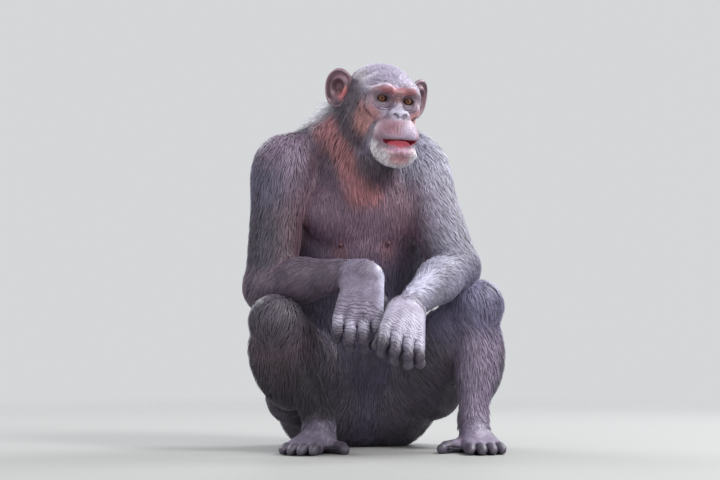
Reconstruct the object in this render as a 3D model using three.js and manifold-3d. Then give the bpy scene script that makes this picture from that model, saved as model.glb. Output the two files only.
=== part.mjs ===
// A chimpanzee sitting with its knees drawn up and apart, both forearms resting over them and the
// hands hanging loosely in front, its head turned to its left and its mouth a little open.
// Millimetres, life size, +Z up. The front looks towards -Y and the origin is the middle of the
// flat that it sits on. The floor is at Z = 0.

import * as THREE from "three";
import { mergeVertices } from "three/addons/utils/BufferGeometryUtils.js";
import Module from "manifold-3d";

const wasm = await Module();
wasm.setup();

const rad = THREE.MathUtils.degToRad;
const vec = (x, y, z) => new THREE.Vector3(x, y, z);
const up = vec(0, 0, 1);
const down = vec(0, 0, -1);
const front = vec(0, -1, 0);

const gap = 0.3; // kept between neighbouring pieces
const castStep = 4; // stride of the search for a surface
const castReach = 420; // how far that search goes

// Posture
const bodyTurn = rad(16); // chest towards +X
const bodyLean = -0.02; // sideways shift of the trunk for each millimetre of height
const headTurn = rad(19);
const headDrop = rad(6);
const headTilt = rad(6.5);
const headCentre = vec(56, -116, 746); // midway between the ear holes

// Where a point of the trunk lies: across to the animal's left, forward from the seat, up.
function trunkPoint(across, forward, height) {
  const place = vec(across, -forward, 0).applyAxisAngle(up, bodyTurn);
  return place.add(vec(bodyLean * height, 0, height));
}

const limbs = {
  right: {
    sign: -1,
    shoulder: vec(-157, -100, 609),
    elbow: vec(-186, -160, 352),
    wrist: vec(19, -300, 383),
    hip: trunkPoint(-86, 28, 104),
    knee: vec(-170, -248, 278),
    ankle: vec(-78, -196, 66),
    calfOut: 38,
    footTurn: rad(-12),
  },
  left: {
    sign: 1,
    shoulder: vec(133, -16, 601),
    elbow: vec(213, -160, 391),
    wrist: vec(106, -345, 307),
    hip: trunkPoint(86, 28, 104),
    knee: vec(260, -152, 310),
    ankle: vec(252, -172, 68),
    calfOut: 8,
    footTurn: rad(4),
  },
};

// Knuckles of the four fingers, from the index finger to the little one
const knuckles = {
  right: [vec(44, -324, 284), vec(16, -330, 280), vec(-11, -326, 279), vec(-36, -314, 288)],
  left: [vec(62, -418, 268), vec(85, -428, 258), vec(108, -424, 247), vec(130, -412, 239)],
};
const fingerNames = ["index", "middle", "ring", "little"];
const phalanges = [[42, 28, 20], [46, 32, 21], [44, 30, 20], [36, 24, 18]];
const fingerRadius = 11.2;
const thumbRadius = 11.5;
const fingerSpread = 0.05;
const fingerBends = {
  right: [vec(0, -0.6, -0.8), vec(0, 0.8, -0.6), vec(0, 0.9, 0.43)],
  left: [vec(-0.05, -0.68, -0.73), vec(0, 0.72, -0.69), vec(0, 0.92, 0.39)],
};
const thumbs = {
  right: [vec(36, -288, 352), vec(56, -280, 322), vec(54, -274, 288)],
  left: [vec(82, -356, 284), vec(58, -374, 262), vec(42, -386, 232)],
};

// Coat: flat tapered locks that lie along the body, with a width, a length and how far the tip stands off
const lockSizes = {
  back: { width: 84, length: 118, lift: 13 },
  arm: { width: 62, length: 100, lift: 12 },
  fringe: { width: 52, length: 84, lift: 13 },
  leg: { width: 64, length: 96, lift: 13 },
  nape: { width: 62, length: 84, lift: 15 },
  cheek: { width: 34, length: 52, lift: 10 },
  beard: { width: 27, length: 32, lift: 8 },
};
const lockRoot = 6; // how deep a lock starts below the surface
const lockThickness = 6.5;
const sharpGrowth = 12; // a sharp edge has to move this much further than a flat face
const lockSpread = 0.16; // share by which sizes and directions vary

const toeLengths = [[25, 18, 14], [27, 20, 14], [25, 18, 13], [21, 15, 12]];
const toeRadius = 10.4;
const bigToeRadius = 13;

// Forms: each is a function that gives a point's distance to it, negative inside.

function cone(from, to, fromRadius, toRadius = fromRadius) {
  const axis = to.clone().sub(from);
  const lengthSq = Math.max(axis.lengthSq(), 1e-9);
  return (p) => {
    const rel = p.clone().sub(from);
    const t = THREE.MathUtils.clamp(rel.dot(axis) / lengthSq, 0, 1);
    return rel.addScaledVector(axis, -t).length() - THREE.MathUtils.lerp(fromRadius, toRadius, t);
  };
}

function oval(centre, radii, turn = new THREE.Quaternion()) {
  const back = turn.clone().invert();
  const [a, b, c] = radii;
  return (p) => {
    const q = p.clone().sub(centre).applyQuaternion(back);
    const near = Math.hypot(q.x / a, q.y / b, q.z / c);
    const slope = Math.hypot(q.x / (a * a), q.y / (b * b), q.z / (c * c));
    return slope < 1e-9 ? -Math.min(a, b, c) : (near * (near - 1)) / slope;
  };
}

// An oval whose third radius runs along a direction.
function ovalAlong(centre, direction, radii, face = front) {
  const z = direction.clone().normalize();
  const y = face.clone().addScaledVector(z, -face.dot(z)).normalize();
  const basis = new THREE.Matrix4().makeBasis(y.clone().cross(z), y, z);
  return oval(centre, radii, new THREE.Quaternion().setFromRotationMatrix(basis));
}

function blended(forms, softness) {
  return (p) => {
    let d = Infinity;
    for (const form of forms) {
      const e = form(p);
      const h = Math.max(softness - Math.abs(d - e), 0) / softness;
      d = Math.min(d, e) - (Number.isFinite(h) ? (h * h * softness) / 4 : 0);
    }
    return d;
  };
}

function hollowed(form, hollows, softness) {
  return (p) => {
    let d = form(p);
    for (const hollow of hollows) {
      const e = -hollow(p);
      const h = Math.max(softness - Math.abs(d - e), 0) / softness;
      d = Math.max(d, e) + (h * h * softness) / 4;
    }
    return d;
  };
}

// Surfaces: rays leave the middle of a form and stop where they come out of it.

function surfacePoint(form, from, direction, grow) {
  let inside = 0;
  let outside = castStep;
  const at = (t) => form(from.clone().addScaledVector(direction, t)) - grow;
  while (outside < castReach && at(outside) < 0) {
    inside = outside;
    outside += castStep;
  }
  for (let i = 0; i < 16; i++) {
    const middle = (inside + outside) / 2;
    if (at(middle) < 0) inside = middle;
    else outside = middle;
  }
  return from.clone().addScaledVector(direction, inside);
}

function solidOf(geometry) {
  const bare = new THREE.BufferGeometry();
  bare.setAttribute("position", geometry.getAttribute("position"));
  bare.setIndex(geometry.getIndex());
  const merged = mergeVertices(bare, 1e-3);
  const triVerts = new Uint32Array(merged.index.array);
  const vertProperties = merged.attributes.position.array;
  return new wasm.Manifold(new wasm.Mesh({ numProp: 3, vertProperties, triVerts }));
}

function ringsToSolid(rings, start, end) {
  const sides = rings[0].length;
  const points = [start, ...rings.flat(), end];
  const index = [];
  const at = (r, s) => 1 + r * sides + (s % sides);
  for (let s = 0; s < sides; s++) {
    index.push(0, at(0, s + 1), at(0, s));
    for (let r = 0; r + 1 < rings.length; r++) {
      index.push(at(r, s), at(r, s + 1), at(r + 1, s));
      index.push(at(r + 1, s), at(r, s + 1), at(r + 1, s + 1));
    }
    index.push(points.length - 1, at(rings.length - 1, s), at(rings.length - 1, s + 1));
  }
  const geometry = new THREE.BufferGeometry().setFromPoints(points);
  geometry.setIndex(index);
  return solidOf(geometry);
}

const spineCurve = (points) =>
  points.length > 2 ? new THREE.CatmullRomCurve3(points) : new THREE.LineCurve3(...points);

// Two directions square to a spine: towards its face, and a quarter turn on.
function sideways(along, face) {
  const across = face.clone().addScaledVector(along, -face.dot(along)).normalize();
  return [across, along.clone().cross(across)];
}

// A closed tube round a spine, its rings cast out to the form, with a cap of fans at each end.
function tube({ form, spine, rings, sides, face, fans = [35, 65], startFans = fans }) {
  const curve = spineCurve(spine);
  const ringAt = (t, tiltDegrees, grow) => {
    const centre = curve.getPoint(t);
    const along = curve.getTangent(t);
    const [across, third] = sideways(along, face);
    const tilt = rad(tiltDegrees);
    return Array.from({ length: sides }, (_, s) => {
      const turn = (2 * Math.PI * s) / sides;
      const spoke = across.clone().multiplyScalar(Math.cos(turn));
      spoke.addScaledVector(third, Math.sin(turn)).multiplyScalar(Math.cos(tilt));
      spoke.addScaledVector(along, Math.sin(tilt));
      return surfacePoint(form, centre, spoke, grow);
    });
  };
  return (grow = 0) => {
    const rows = startFans.map((a) => ringAt(0, -a, grow)).reverse();
    for (let r = 0; r <= rings; r++) rows.push(ringAt(r / rings, 0, grow));
    rows.push(...fans.map((a) => ringAt(1, a, grow)));
    const start = surfacePoint(form, curve.getPoint(0), curve.getTangent(0).negate(), grow);
    const end = surfacePoint(form, curve.getPoint(1), curve.getTangent(1), grow);
    return ringsToSolid(rows, start, end);
  };
}

// A closed ball of rays from one point, drawn together towards the front by a share.
function burst({ form, centre, widthSteps, heightSteps, crowding = 0 }) {
  return (grow = 0) => {
    const geometry = new THREE.SphereGeometry(1, widthSteps, heightSteps);
    geometry.rotateX(Math.PI / 2);
    const position = geometry.getAttribute("position");
    for (let i = 0; i < position.count; i++) {
      const ray = vec(0, 0, 0).fromBufferAttribute(position, i);
      const turn = Math.atan2(ray.x, -ray.y);
      const crowded = turn - crowding * Math.sin(turn);
      const flat = Math.hypot(ray.x, ray.y);
      ray.set(flat * Math.sin(crowded), -flat * Math.cos(crowded), ray.z);
      position.setXYZ(i, ...surfacePoint(form, centre, ray, grow).toArray());
    }
    return solidOf(geometry);
  };
}

function ball(centre, radii, turn = new THREE.Quaternion(), widthSteps = 18, heightSteps = 12) {
  return (grow = 0) => {
    const geometry = new THREE.SphereGeometry(1, widthSteps, heightSteps);
    geometry.scale(radii[0] + grow, radii[1] + grow, radii[2] + grow);
    geometry.applyQuaternion(turn);
    geometry.translate(centre.x, centre.y, centre.z);
    return solidOf(geometry);
  };
}

// Coat: each lock starts below the surface, follows it along a lie and lifts off towards its tip.

function seededRandom(seed) {
  let state = seed;
  return () => {
    state = (state * 1664525 + 1013904223) % 4294967296;
    return state / 4294967296;
  };
}

function outwardOf(form, p) {
  const e = 0.5;
  const slope = (step) => form(p.clone().add(step)) - form(p.clone().sub(step));
  return vec(slope(vec(e, 0, 0)), slope(vec(0, e, 0)), slope(vec(0, 0, e))).normalize();
}

// The point over or under p that stands at a height off the form.
function atHeight(form, p, height) {
  const q = p.clone();
  for (let i = 0; i < 3; i++) q.addScaledVector(outwardOf(form, q), height - form(q));
  return q;
}

function lockPath(form, start, lie, size) {
  const heights = [-lockRoot, 1.5, 0.55 * size.lift, size.lift];
  const stride = size.length / (heights.length - 1);
  const path = [];
  let at = start.clone();
  let along = lie.clone();
  for (const height of heights) {
    const outward = outwardOf(form, at);
    along.addScaledVector(outward, -along.dot(outward)).normalize();
    path.push({ at: atHeight(form, at, height), outward, along: along.clone() });
    at = atHeight(form, at.clone().addScaledVector(along, stride), 0);
  }
  return path;
}

function lockSolid(form, path, size, grow) {
  const [root, ...rest] = path;
  const tip = rest.pop();
  const shares = [1, 0.74];
  const rings = rest.map(({ at, outward, along }, k) => {
    const across = outward.clone().cross(along);
    const half = (size.width * shares[k]) / 2 + sharpGrowth * grow;
    const edge = (side) => {
      const p = at.clone().addScaledVector(across, half * side);
      return atHeight(form, p, form(at) - 3 + 2 * k - grow);
    };
    const ridge = at.clone().addScaledVector(outward, lockThickness * (1 - 0.25 * k) + 2 * grow);
    return [edge(-1), edge(1), ridge];
  });
  const start = root.at.clone().addScaledVector(root.along, -sharpGrowth * grow);
  const end = tip.at.clone().addScaledVector(tip.along, sharpGrowth * grow);
  return ringsToSolid(rings, start, end);
}

// The makers of a bed's locks: rows of spokes leave a spine and find their roots on the form.
function lockBed({ form, spine, face, rows, turns, lie, size, seed }) {
  const curve = spineCurve(spine);
  const draw = seededRandom(seed);
  const vary = (share) => share * (2 * draw() - 1);
  const makers = [];
  rows.forEach((row, r) => {
    const centre = curve.getPoint(row);
    const [across, third] = sideways(curve.getTangent(row), face);
    const halfStep = r % 2 ? (turns[1] - turns[0]) / 2 : 0;
    for (const turn of turns) {
      const angle = rad(turn + halfStep + vary(5));
      const spoke = across.clone().multiplyScalar(Math.cos(angle));
      spoke.addScaledVector(third, Math.sin(angle));
      const start = surfacePoint(form, centre, spoke, 0);
      const drift = lie.clone().add(vec(vary(lockSpread), vary(lockSpread), vary(lockSpread)));
      const own = {};
      for (const key of Object.keys(size)) own[key] = size[key] * (1 + vary(lockSpread));
      const path = lockPath(form, start, drift, own);
      makers.push((grow) => lockSolid(form, path, own, grow));
    }
  });
  return makers;
}

const evenly = (from, to, count) =>
  Array.from({ length: count }, (_, i) => from + ((to - from) * i) / (count - 1));

function joined(makers, grow = 0) {
  return makers.map((make) => make(grow)).reduce((a, b) => a.add(b));
}

function largest(solid) {
  const pieces = solid.decompose();
  return pieces.reduce((a, b) => (a.volume() > b.volume() ? a : b));
}

const keepSide = (solid, normal, point) => {
  const n = normal.clone().normalize();
  return solid.trimByPlane(n.toArray(), n.dot(point));
};

// Trunk: pelvis, belly, rib cage and the shoulder girdle over it
function trunkForm() {
  const turned = new THREE.Quaternion().setFromAxisAngle(up, bodyTurn);
  const stoop = turned.clone().multiply(new THREE.Quaternion().setFromAxisAngle(vec(1, 0, 0), rad(9)));
  const forms = [
    oval(trunkPoint(0, 0, 92), [140, 104, 98], turned),
    oval(trunkPoint(0, 18, 200), [148, 118, 130], turned),
    oval(trunkPoint(0, 6, 300), [150, 114, 130], turned),
    oval(trunkPoint(0, -14, 470), [96, 88, 150], turned),
    oval(trunkPoint(0, 18, 415), [160, 118, 165], stoop),
    oval(trunkPoint(0, 46, 552), [156, 84, 88], turned),
    oval(trunkPoint(0, 4, 586), [84, 72, 72], turned),
  ];
  for (const side of [-1, 1]) {
    forms.push(oval(trunkPoint(76 * side, -12, 70), [86, 90, 76], turned));
    forms.push(oval(trunkPoint(66 * side, 110, 505), [72, 38, 60], turned));
    forms.push(oval(trunkPoint(82 * side, -26, 515), [78, 62, 112], turned));
    forms.push(cone(trunkPoint(124 * side, 46, 644), trunkPoint(12 * side, 52, 690), 42, 60));
    forms.push(cone(trunkPoint(128 * side, 14, 612), trunkPoint(20 * side, 22, 654), 42, 60));
  }
  return blended(forms, 30);
}

const trunkSpine = [
  trunkPoint(0, 0, 34),
  trunkPoint(0, 6, 160),
  trunkPoint(0, 8, 300),
  trunkPoint(0, 20, 430),
  trunkPoint(0, 42, 560),
  trunkPoint(0, 56, 640),
];
const trunkShape = { form: trunkForm(), spine: trunkSpine, face: front };
const trunk = tube({ ...trunkShape, rings: 15, sides: 22 });

const skullBase = headCentre.clone().add(vec(-14, 22, -30));
const neckForm = blended(
  [
    cone(trunkPoint(0, 56, 610), skullBase, 92, 72),
    cone(trunkPoint(0, 26, 610), headCentre.clone().add(vec(-30, 42, -18)), 94, 70),
    cone(trunkPoint(0, 100, 590), headCentre.clone().add(vec(10, -30, -76)), 50, 36),
  ],
  30,
);
// Head, in its own frame: +X to the animal's left, -Y to the front, the ear holes at the origin
const eyePlace = (side) => vec(30 * side, -72, 14);
const eyeRadius = 12.5;
const mouthTop = -67;
const jawAside = 6; // the lips and the chin are pushed a little to the left

function headForm() {
  const forms = [
    oval(vec(0, 18, 28), [72, 88, 60]),
    oval(vec(0, -44, 40), [58, 34, 30]),
    oval(vec(0, -57, -2), [53, 36, 44]),
    cone(vec(0, -86, 20), vec(1, -108, -13), 8, 12),
    oval(vec(5, -90, -58), [51, 54, 42]),
    oval(vec(jawAside, -112, -62), [44, 33, 15]),
    oval(vec(jawAside + 2, -112, -96), [39, 33, 12]),
    oval(vec(jawAside + 6, -98, -105), [40, 34, 24]),
    cone(vec(0, -10, -60), vec(4, -70, -88), 42, 32),
    oval(vec(0, 12, -28), [52, 56, 44]),
  ];
  for (const side of [-1, 1]) {
    forms.push(cone(vec(8 * side, -88, 31), vec(27 * side, -90, 42), 8, 9));
    forms.push(cone(vec(27 * side, -90, 42), vec(54 * side, -68, 28), 9, 8.5));
    forms.push(oval(vec(50 * side, -30, 14), [23, 42, 38]));
    forms.push(oval(vec(44 * side, -64, -6), [20, 25, 17]));
    forms.push(cone(vec(46 * side, -4, -50), vec(22 * side + 4, -80, -96), 24, 22));
    forms.push(oval(vec(38 * side, -26, -34), [27, 46, 44]));
    forms.push(oval(vec(1 + 13 * side, -112, -17), [11, 9.5, 8.5]));
  }
  const sockets = [-1, 1].map((side) => oval(vec(30 * side, -99, 14), [20, 20, 12.5]));
  const lids = [-1, 1].map((side) => oval(eyePlace(side), [17, 15.5, 15]));
  return blended([hollowed(blended(forms, 14), sockets, 8), ...lids], 4);
}

const headGroup = new THREE.Group();
headGroup.position.copy(headCentre);
headGroup.rotation.set(headDrop, headTilt, headTurn, "ZXY");
headGroup.updateMatrix();
const toWorld = headGroup.matrix;
const toHead = toWorld.clone().invert();
const bareHead = headForm();

// The head and the neck grow into each other, so that both have the same outline where they part.
const neckFromHead = (p) => neckForm(p.clone().applyMatrix4(toWorld));
const headFromNeck = (p) => bareHead(p.clone().applyMatrix4(toHead));
const throatSoftness = 26;
const headOnNeckForm = blended([bareHead, neckFromHead], throatSoftness);
const headOnNeck = burst({
  form: headOnNeckForm,
  centre: vec(0, -34, 4),
  widthSteps: 40,
  heightSteps: 26,
  crowding: 0.42,
});

// Neck, from between the shoulders to the base of the skull
const neckShape = {
  form: blended([neckForm, headFromNeck], throatSoftness),
  spine: [trunkPoint(0, 56, 600), skullBase],
  face: front,
};
const neck = tube({ ...neckShape, rings: 5, sides: 18 });

function head() {
  let solid = headOnNeck();
  for (const side of [-1, 1]) {
    solid = solid.subtract(eye(side)(gap));
    const lidOpening = eyePlace(side).add(vec(0, -15, -1));
    const nostril = vec(1 + 8.5 * side, -121, -20);
    const slant = new THREE.Quaternion().setFromAxisAngle(vec(0, 1, 0), rad(-30 * side));
    solid = solid.subtract(ball(lidOpening, [13, 13, 6.5], undefined, 12, 6)());
    solid = solid.subtract(ball(nostril, [6, 7, 3.4], slant, 8, 6)());
  }
  return solid.subtract(mouthHollow());
}

function mouthHollow(grow = 0) {
  const round = ball(vec(jawAside, -126, mouthTop), [37, 30, 21], undefined, 15, 10)(grow);
  return keepSide(round, vec(0, 0, -1), vec(0, 0, mouthTop + grow));
}

const eye = (side) => ball(eyePlace(side), [eyeRadius, eyeRadius, eyeRadius], undefined, 10, 7);
function tongue() {
  const whole = ball(vec(jawAside, -107, -86), [25, 32, 9], undefined, 10, 6)();
  return whole.intersect(mouthHollow(-gap));
}

// Ear: an oval bowl that stands out from the head and opens forwards and outwards
const earTurn = 42;
const earHeight = 86;
const earWidth = 60;

function ear(side, grow = 0) {
  const turn = new THREE.Quaternion().setFromAxisAngle(up, rad(earTurn * side));
  const away = vec(1, 0, 0).applyQuaternion(turn).multiplyScalar(side);
  away.set(Math.abs(away.x) * side, Math.abs(away.y), 0);
  const opening = vec(0, -1, 0).applyQuaternion(turn);
  const centre = vec(70 * side, 8, 20).addScaledVector(away, earWidth / 2);
  const shell = ball(centre, [earWidth / 2, 13, earHeight / 2], turn, 16, 8)(grow);
  const bowlCentre = centre.clone().addScaledVector(opening, 11).addScaledVector(away, -3);
  const bowl = ball(bowlCentre, [earWidth / 2 - 6, 15, earHeight / 2 - 6], turn, 12, 6)(-grow);
  return shell.subtract(bowl);
}

// Arm: the upper arm and the forearm meet at a plane through the elbow, whose bulge both share
function armTubes({ shoulder, elbow, wrist, sign }) {
  const fall = elbow.clone().sub(shoulder).normalize();
  const out = wrist.clone().sub(elbow).normalize();
  const forward = trunkPoint(0, 1, 0);
  const at = (share, shift) => shoulder.clone().lerp(elbow, share).addScaledVector(forward, shift);
  const mid = elbow.clone().lerp(wrist, 0.35).add(vec(0, 0, 3));
  const point = ovalAlong(elbow.clone().addScaledVector(out, -14), fall, [36, 38, 46], forward);
  const upperForm = blended(
    [
      ovalAlong(at(0.08, 2).add(vec(2 * sign, 0, 6)), fall, [63, 68, 86], forward),
      cone(at(0.15, 20), at(0.75, 16), 48, 42),
      cone(at(0.15, -22), at(0.85, -12), 52, 44),
      cone(shoulder, elbow, 60, 47),
      point,
    ],
    22,
  );
  const lowerForm = blended([cone(elbow, mid, 47, 46), cone(mid, wrist, 45, 30), point], 22);
  const upperShape = { form: upperForm, spine: [shoulder, elbow], face: forward };
  const lowerShape = { form: lowerForm, spine: [elbow, wrist], face: up };
  return {
    upperShape,
    lowerShape,
    upper: tube({ ...upperShape, rings: 8, sides: 16 }),
    lower: tube({ ...lowerShape, rings: 7, sides: 16 }),
    splitNormal: out.clone().add(fall).normalize(),
  };
}

// Hand: the four long bones of the palm side by side, with the ball of the thumb
function palmForm(side) {
  const { wrist } = limbs[side];
  const points = knuckles[side];
  const across = points[3].clone().sub(points[0]).normalize();
  const forms = points.map((knuckle, i) =>
    cone(wrist.clone().addScaledVector(across, (i - 1.5) * 13), knuckle, 22, 14),
  );
  forms.push(cone(wrist, thumbs[side][0], 22, 17));
  return blended(forms, 9);
}

function palm(side) {
  const points = knuckles[side];
  const middle = points[1].clone().lerp(points[2], 0.5);
  const { wrist } = limbs[side];
  return tube({
    form: palmForm(side),
    spine: [wrist.clone().lerp(middle, 0.05), middle.clone().lerp(wrist, 0.12)],
    rings: 6,
    sides: 16,
    face: points[3].clone().sub(points[0]),
    fans: [30, 60],
  });
}

// A finger or toe from its points, thicker at each joint.
function digit(points, radius, face, rings, sides = 8) {
  const forms = [];
  for (let i = 0; i + 1 < points.length; i++) {
    const [from, to] = [points[i], points[i + 1]];
    forms.push(cone(from, to, radius * (1 - 0.07 * i), radius * (0.93 - 0.07 * i)));
    forms.push(cone(from, from, radius * (1.08 - 0.05 * i)));
  }
  const form = blended(forms, 5);
  return tube({ form, spine: points, rings, sides, face, fans: [45], startFans: [] });
}

function fingerPoints(side, i) {
  const points = [knuckles[side][i].clone()];
  fingerBends[side].forEach((bend, k) => {
    const spread = vec((i - 1.5) * fingerSpread * limbs[side].sign, 0, 0);
    const step = bend.clone().add(spread).normalize();
    points.push(points[k].clone().addScaledVector(step, phalanges[i][k]));
  });
  return points;
}

// Leg
function thighForm({ hip, knee, sign }) {
  const along = knee.clone().sub(hip).normalize();
  const under = vec(0, 0, -1).addScaledVector(along, along.z).normalize();
  return blended(
    [
      cone(hip, knee, 86, 46),
      cone(hip.clone().add(vec(0, 0, 34)), knee.clone().add(vec(0, 0, 2)), 78, 46),
      ovalAlong(hip.clone().lerp(knee, 0.45).addScaledVector(under, 12), along, [66, 70, 130], under),
      oval(hip.clone().lerp(knee, 0.3).add(vec(26 * sign, 20, -44)), [64, 82, 62]),
      cone(hip.clone().add(vec(6 * sign, 14, -4)), hip, 78, 80),
      cone(knee, knee, 48),
    ],
    24,
  );
}

function shinForm({ knee, ankle, sign, calfOut }) {
  const along = ankle.clone().sub(knee).normalize();
  const calf = knee.clone().lerp(ankle, 0.46).add(vec(calfOut * sign, 26, 0));
  return blended(
    [
      cone(knee, ankle, 46, 31),
      ovalAlong(calf, along, [56, 54, 100]),
      cone(knee.clone().addScaledVector(along, 6), knee, 46),
    ],
    22,
  );
}

// Foot, flat on the floor: heel, instep, four long bones and the big toe standing off to the inside
function footPoint(limb, along, inward, height) {
  const { ankle, sign, footTurn } = limb;
  const place = vec(-inward * sign, -along, 0).applyAxisAngle(up, footTurn);
  return vec(ankle.x + place.x, ankle.y + place.y, height);
}
const toeRoots = [[112, 20], [118, -1], [113, -22], [102, -41]];
const toeNames = ["second", "third", "fourth", "fifth"];
const bigToe = [[58, 44, 13], [82, 66, 12], [106, 78, 10]];

function footForm(limb) {
  const at = (along, inward, height) => footPoint(limb, along, inward, height);
  const forms = [
    cone(at(-40, 0, 27), at(-8, 0, 32), 28, 30),
    cone(at(0, 0, 64), at(52, 4, 34), 32, 25),
    cone(at(20, 8, 22), at(...bigToe[0]), 19, 14.5),
  ];
  for (const [along, inward] of toeRoots) {
    forms.push(cone(at(14, inward * 0.5, 26), at(along, inward, 13), 21, 12.6));
  }
  return blended(forms, 12);
}

function foot(limb) {
  return tube({
    form: footForm(limb),
    spine: [footPoint(limb, -34, 0, 28), footPoint(limb, 20, 0, 30), footPoint(limb, 96, 0, 14)],
    rings: 6,
    sides: 14,
    face: up,
    fans: [30, 60],
  });
}

function toePoints(limb, i) {
  const [along, inward] = toeRoots[i];
  const heights = [12.5, 14, 12, 9.6];
  let reach = along;
  return heights.map((height, k) => {
    if (k) reach += toeLengths[i][k - 1];
    return footPoint(limb, reach, inward * (1 + 0.04 * k), height);
  });
}

// Materials
const finish = (color, roughness) => new THREE.MeshStandardMaterial({ color, roughness, metalness: 0 });
const coat = finish(0x2c2527, 0.8);
const faceSkin = finish(0x5a4038, 0.6);
const handSkin = finish(0x3a3537, 0.55);
const eyeFinish = finish(0x6a3a18, 0.1);
const tongueFinish = finish(0xb04a48, 0.4);

const model = new THREE.Group();
model.add(headGroup);

function place(name, solid, material, group = model) {
  const mesh = largest(solid).getMesh();
  const geometry = new THREE.BufferGeometry();
  geometry.setAttribute("position", new THREE.BufferAttribute(mesh.vertProperties, 3));
  geometry.setIndex(new THREE.BufferAttribute(mesh.triVerts, 1));
  geometry.computeVertexNormals();
  const piece = new THREE.Mesh(geometry, material);
  piece.name = name;
  group.add(piece);
}

const onFloor = (solid) => keepSide(solid, up, vec(0, 0, 0));

// The neck and the head part at one slanting cut, from under the jaw to the back of the skull.
const napeCut = vec(0, -0.568, 0.823);
const napeCutPoint = (shift) => vec(0, 100, -10).addScaledVector(napeCut, shift);
const napeCutOut = napeCut.clone().transformDirection(toWorld);
const neckCutPoint = (shift) => napeCutPoint(shift).applyMatrix4(toWorld);

// Pieces with a coat wait here until all are shaped, and so do the neighbours that locks keep clear of.
const coated = [];
const neighbours = [];
const inWorld = (solid) => solid.transform(toWorld.toArray());
const inHead = (solid) => solid.transform(toHead.toArray());

function addCoated(name, core, grown, makers) {
  const piece = { name, core, grown, makers };
  coated.push(piece);
  neighbours.push(piece);
  return piece;
}

// Head and what it carries
const skullSpine = [vec(0, -34, -70), vec(0, 0, 60)];
const skullShape = { form: headOnNeckForm, spine: skullSpine, face: front };
const cheekBed = {
  ...skullShape,
  rows: [0.34, 0.1],
  size: lockSizes.cheek,
};
const headBeds = [
  { ...cheekBed, turns: [92, 124], lie: vec(0.1, 0.4, -1), seed: 4 },
  { ...cheekBed, turns: [236, 268], lie: vec(-0.1, 0.4, -1), seed: 5 },
  {
    ...skullShape,
    rows: [0.86],
    turns: evenly(130, 230, 3),
    lie: vec(0, 0.6, -1),
    size: lockSizes.nape,
    seed: 3,
  },
  {
    ...skullShape,
    spine: [vec(jawAside, -84, -116), vec(jawAside, -84, -106)],
    rows: [0.5],
    turns: evenly(-75, 75, 5),
    lie: vec(0, 0.2, -1),
    size: lockSizes.beard,
    seed: 6,
  },
];
const headPiece = addCoated(
  "head",
  inWorld(keepSide(head(), napeCut, napeCutPoint(gap / 2))),
  inWorld(keepSide(headOnNeck(gap), napeCut, napeCutPoint(-gap / 2))),
  headBeds.flatMap(lockBed).map((make) => (grow) => inWorld(make(grow))),
);
for (const [name, side] of [["right", -1], ["left", 1]]) {
  place("eye_" + name, eye(side)(), eyeFinish, headGroup);
  place("ear_" + name, ear(side).subtract(headOnNeck(gap)), faceSkin, headGroup);
  neighbours.push({ grown: inWorld(ear(side, gap)) });
}
place("tongue", tongue(), tongueFinish, headGroup);

// Trunk in three, and the neck
const waist = trunkPoint(0, 0, 175);
const midriff = trunkPoint(0, 0, 345);
const trunkClear = trunk(gap);
const lift = (point, height) => point.clone().add(vec(0, 0, height));
const above = (solid, point, grow) => keepSide(solid, up, lift(point, gap / 2 - grow));
const below = (solid, point, grow) => keepSide(solid, up.clone().negate(), lift(point, grow - gap / 2));
const trunkPiece = (grow, low, high) => {
  let solid = trunk(grow);
  if (low) solid = above(solid, low, grow);
  return high ? below(solid, high, grow) : solid;
};
const belowHead = (solid) => keepSide(solid, napeCutOut.clone().negate(), neckCutPoint(-gap / 2));
const neckClear = belowHead(neck(gap));
const backLocks = (rows, seed) =>
  lockBed({ ...trunkShape, rows, turns: evenly(106, 226, 4), lie: down, size: lockSizes.back, seed });
const shoulderLocks = lockBed({
  ...trunkShape,
  spine: neckShape.spine,
  rows: [0.34],
  turns: evenly(125, 245, 4),
  lie: vec(0, 0.6, -1),
  size: lockSizes.nape,
  seed: 15,
});
addCoated(
  "pelvis",
  onFloor(trunkPiece(0, null, waist)),
  trunkPiece(gap, null, waist),
  backLocks([0.16], 11),
);
addCoated(
  "abdomen",
  trunkPiece(0, waist, midriff),
  trunkPiece(gap, waist, midriff),
  backLocks([0.45, 0.33], 12),
);
addCoated(
  "chest",
  trunkPiece(0, midriff).subtract(headPiece.grown),
  trunkPiece(gap, midriff),
  [...backLocks([0.9, 0.76, 0.6], 13), ...shoulderLocks],
);
place("neck", belowHead(neck()).subtract(trunkClear), coat);
neighbours.push({ grown: neckClear });

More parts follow.
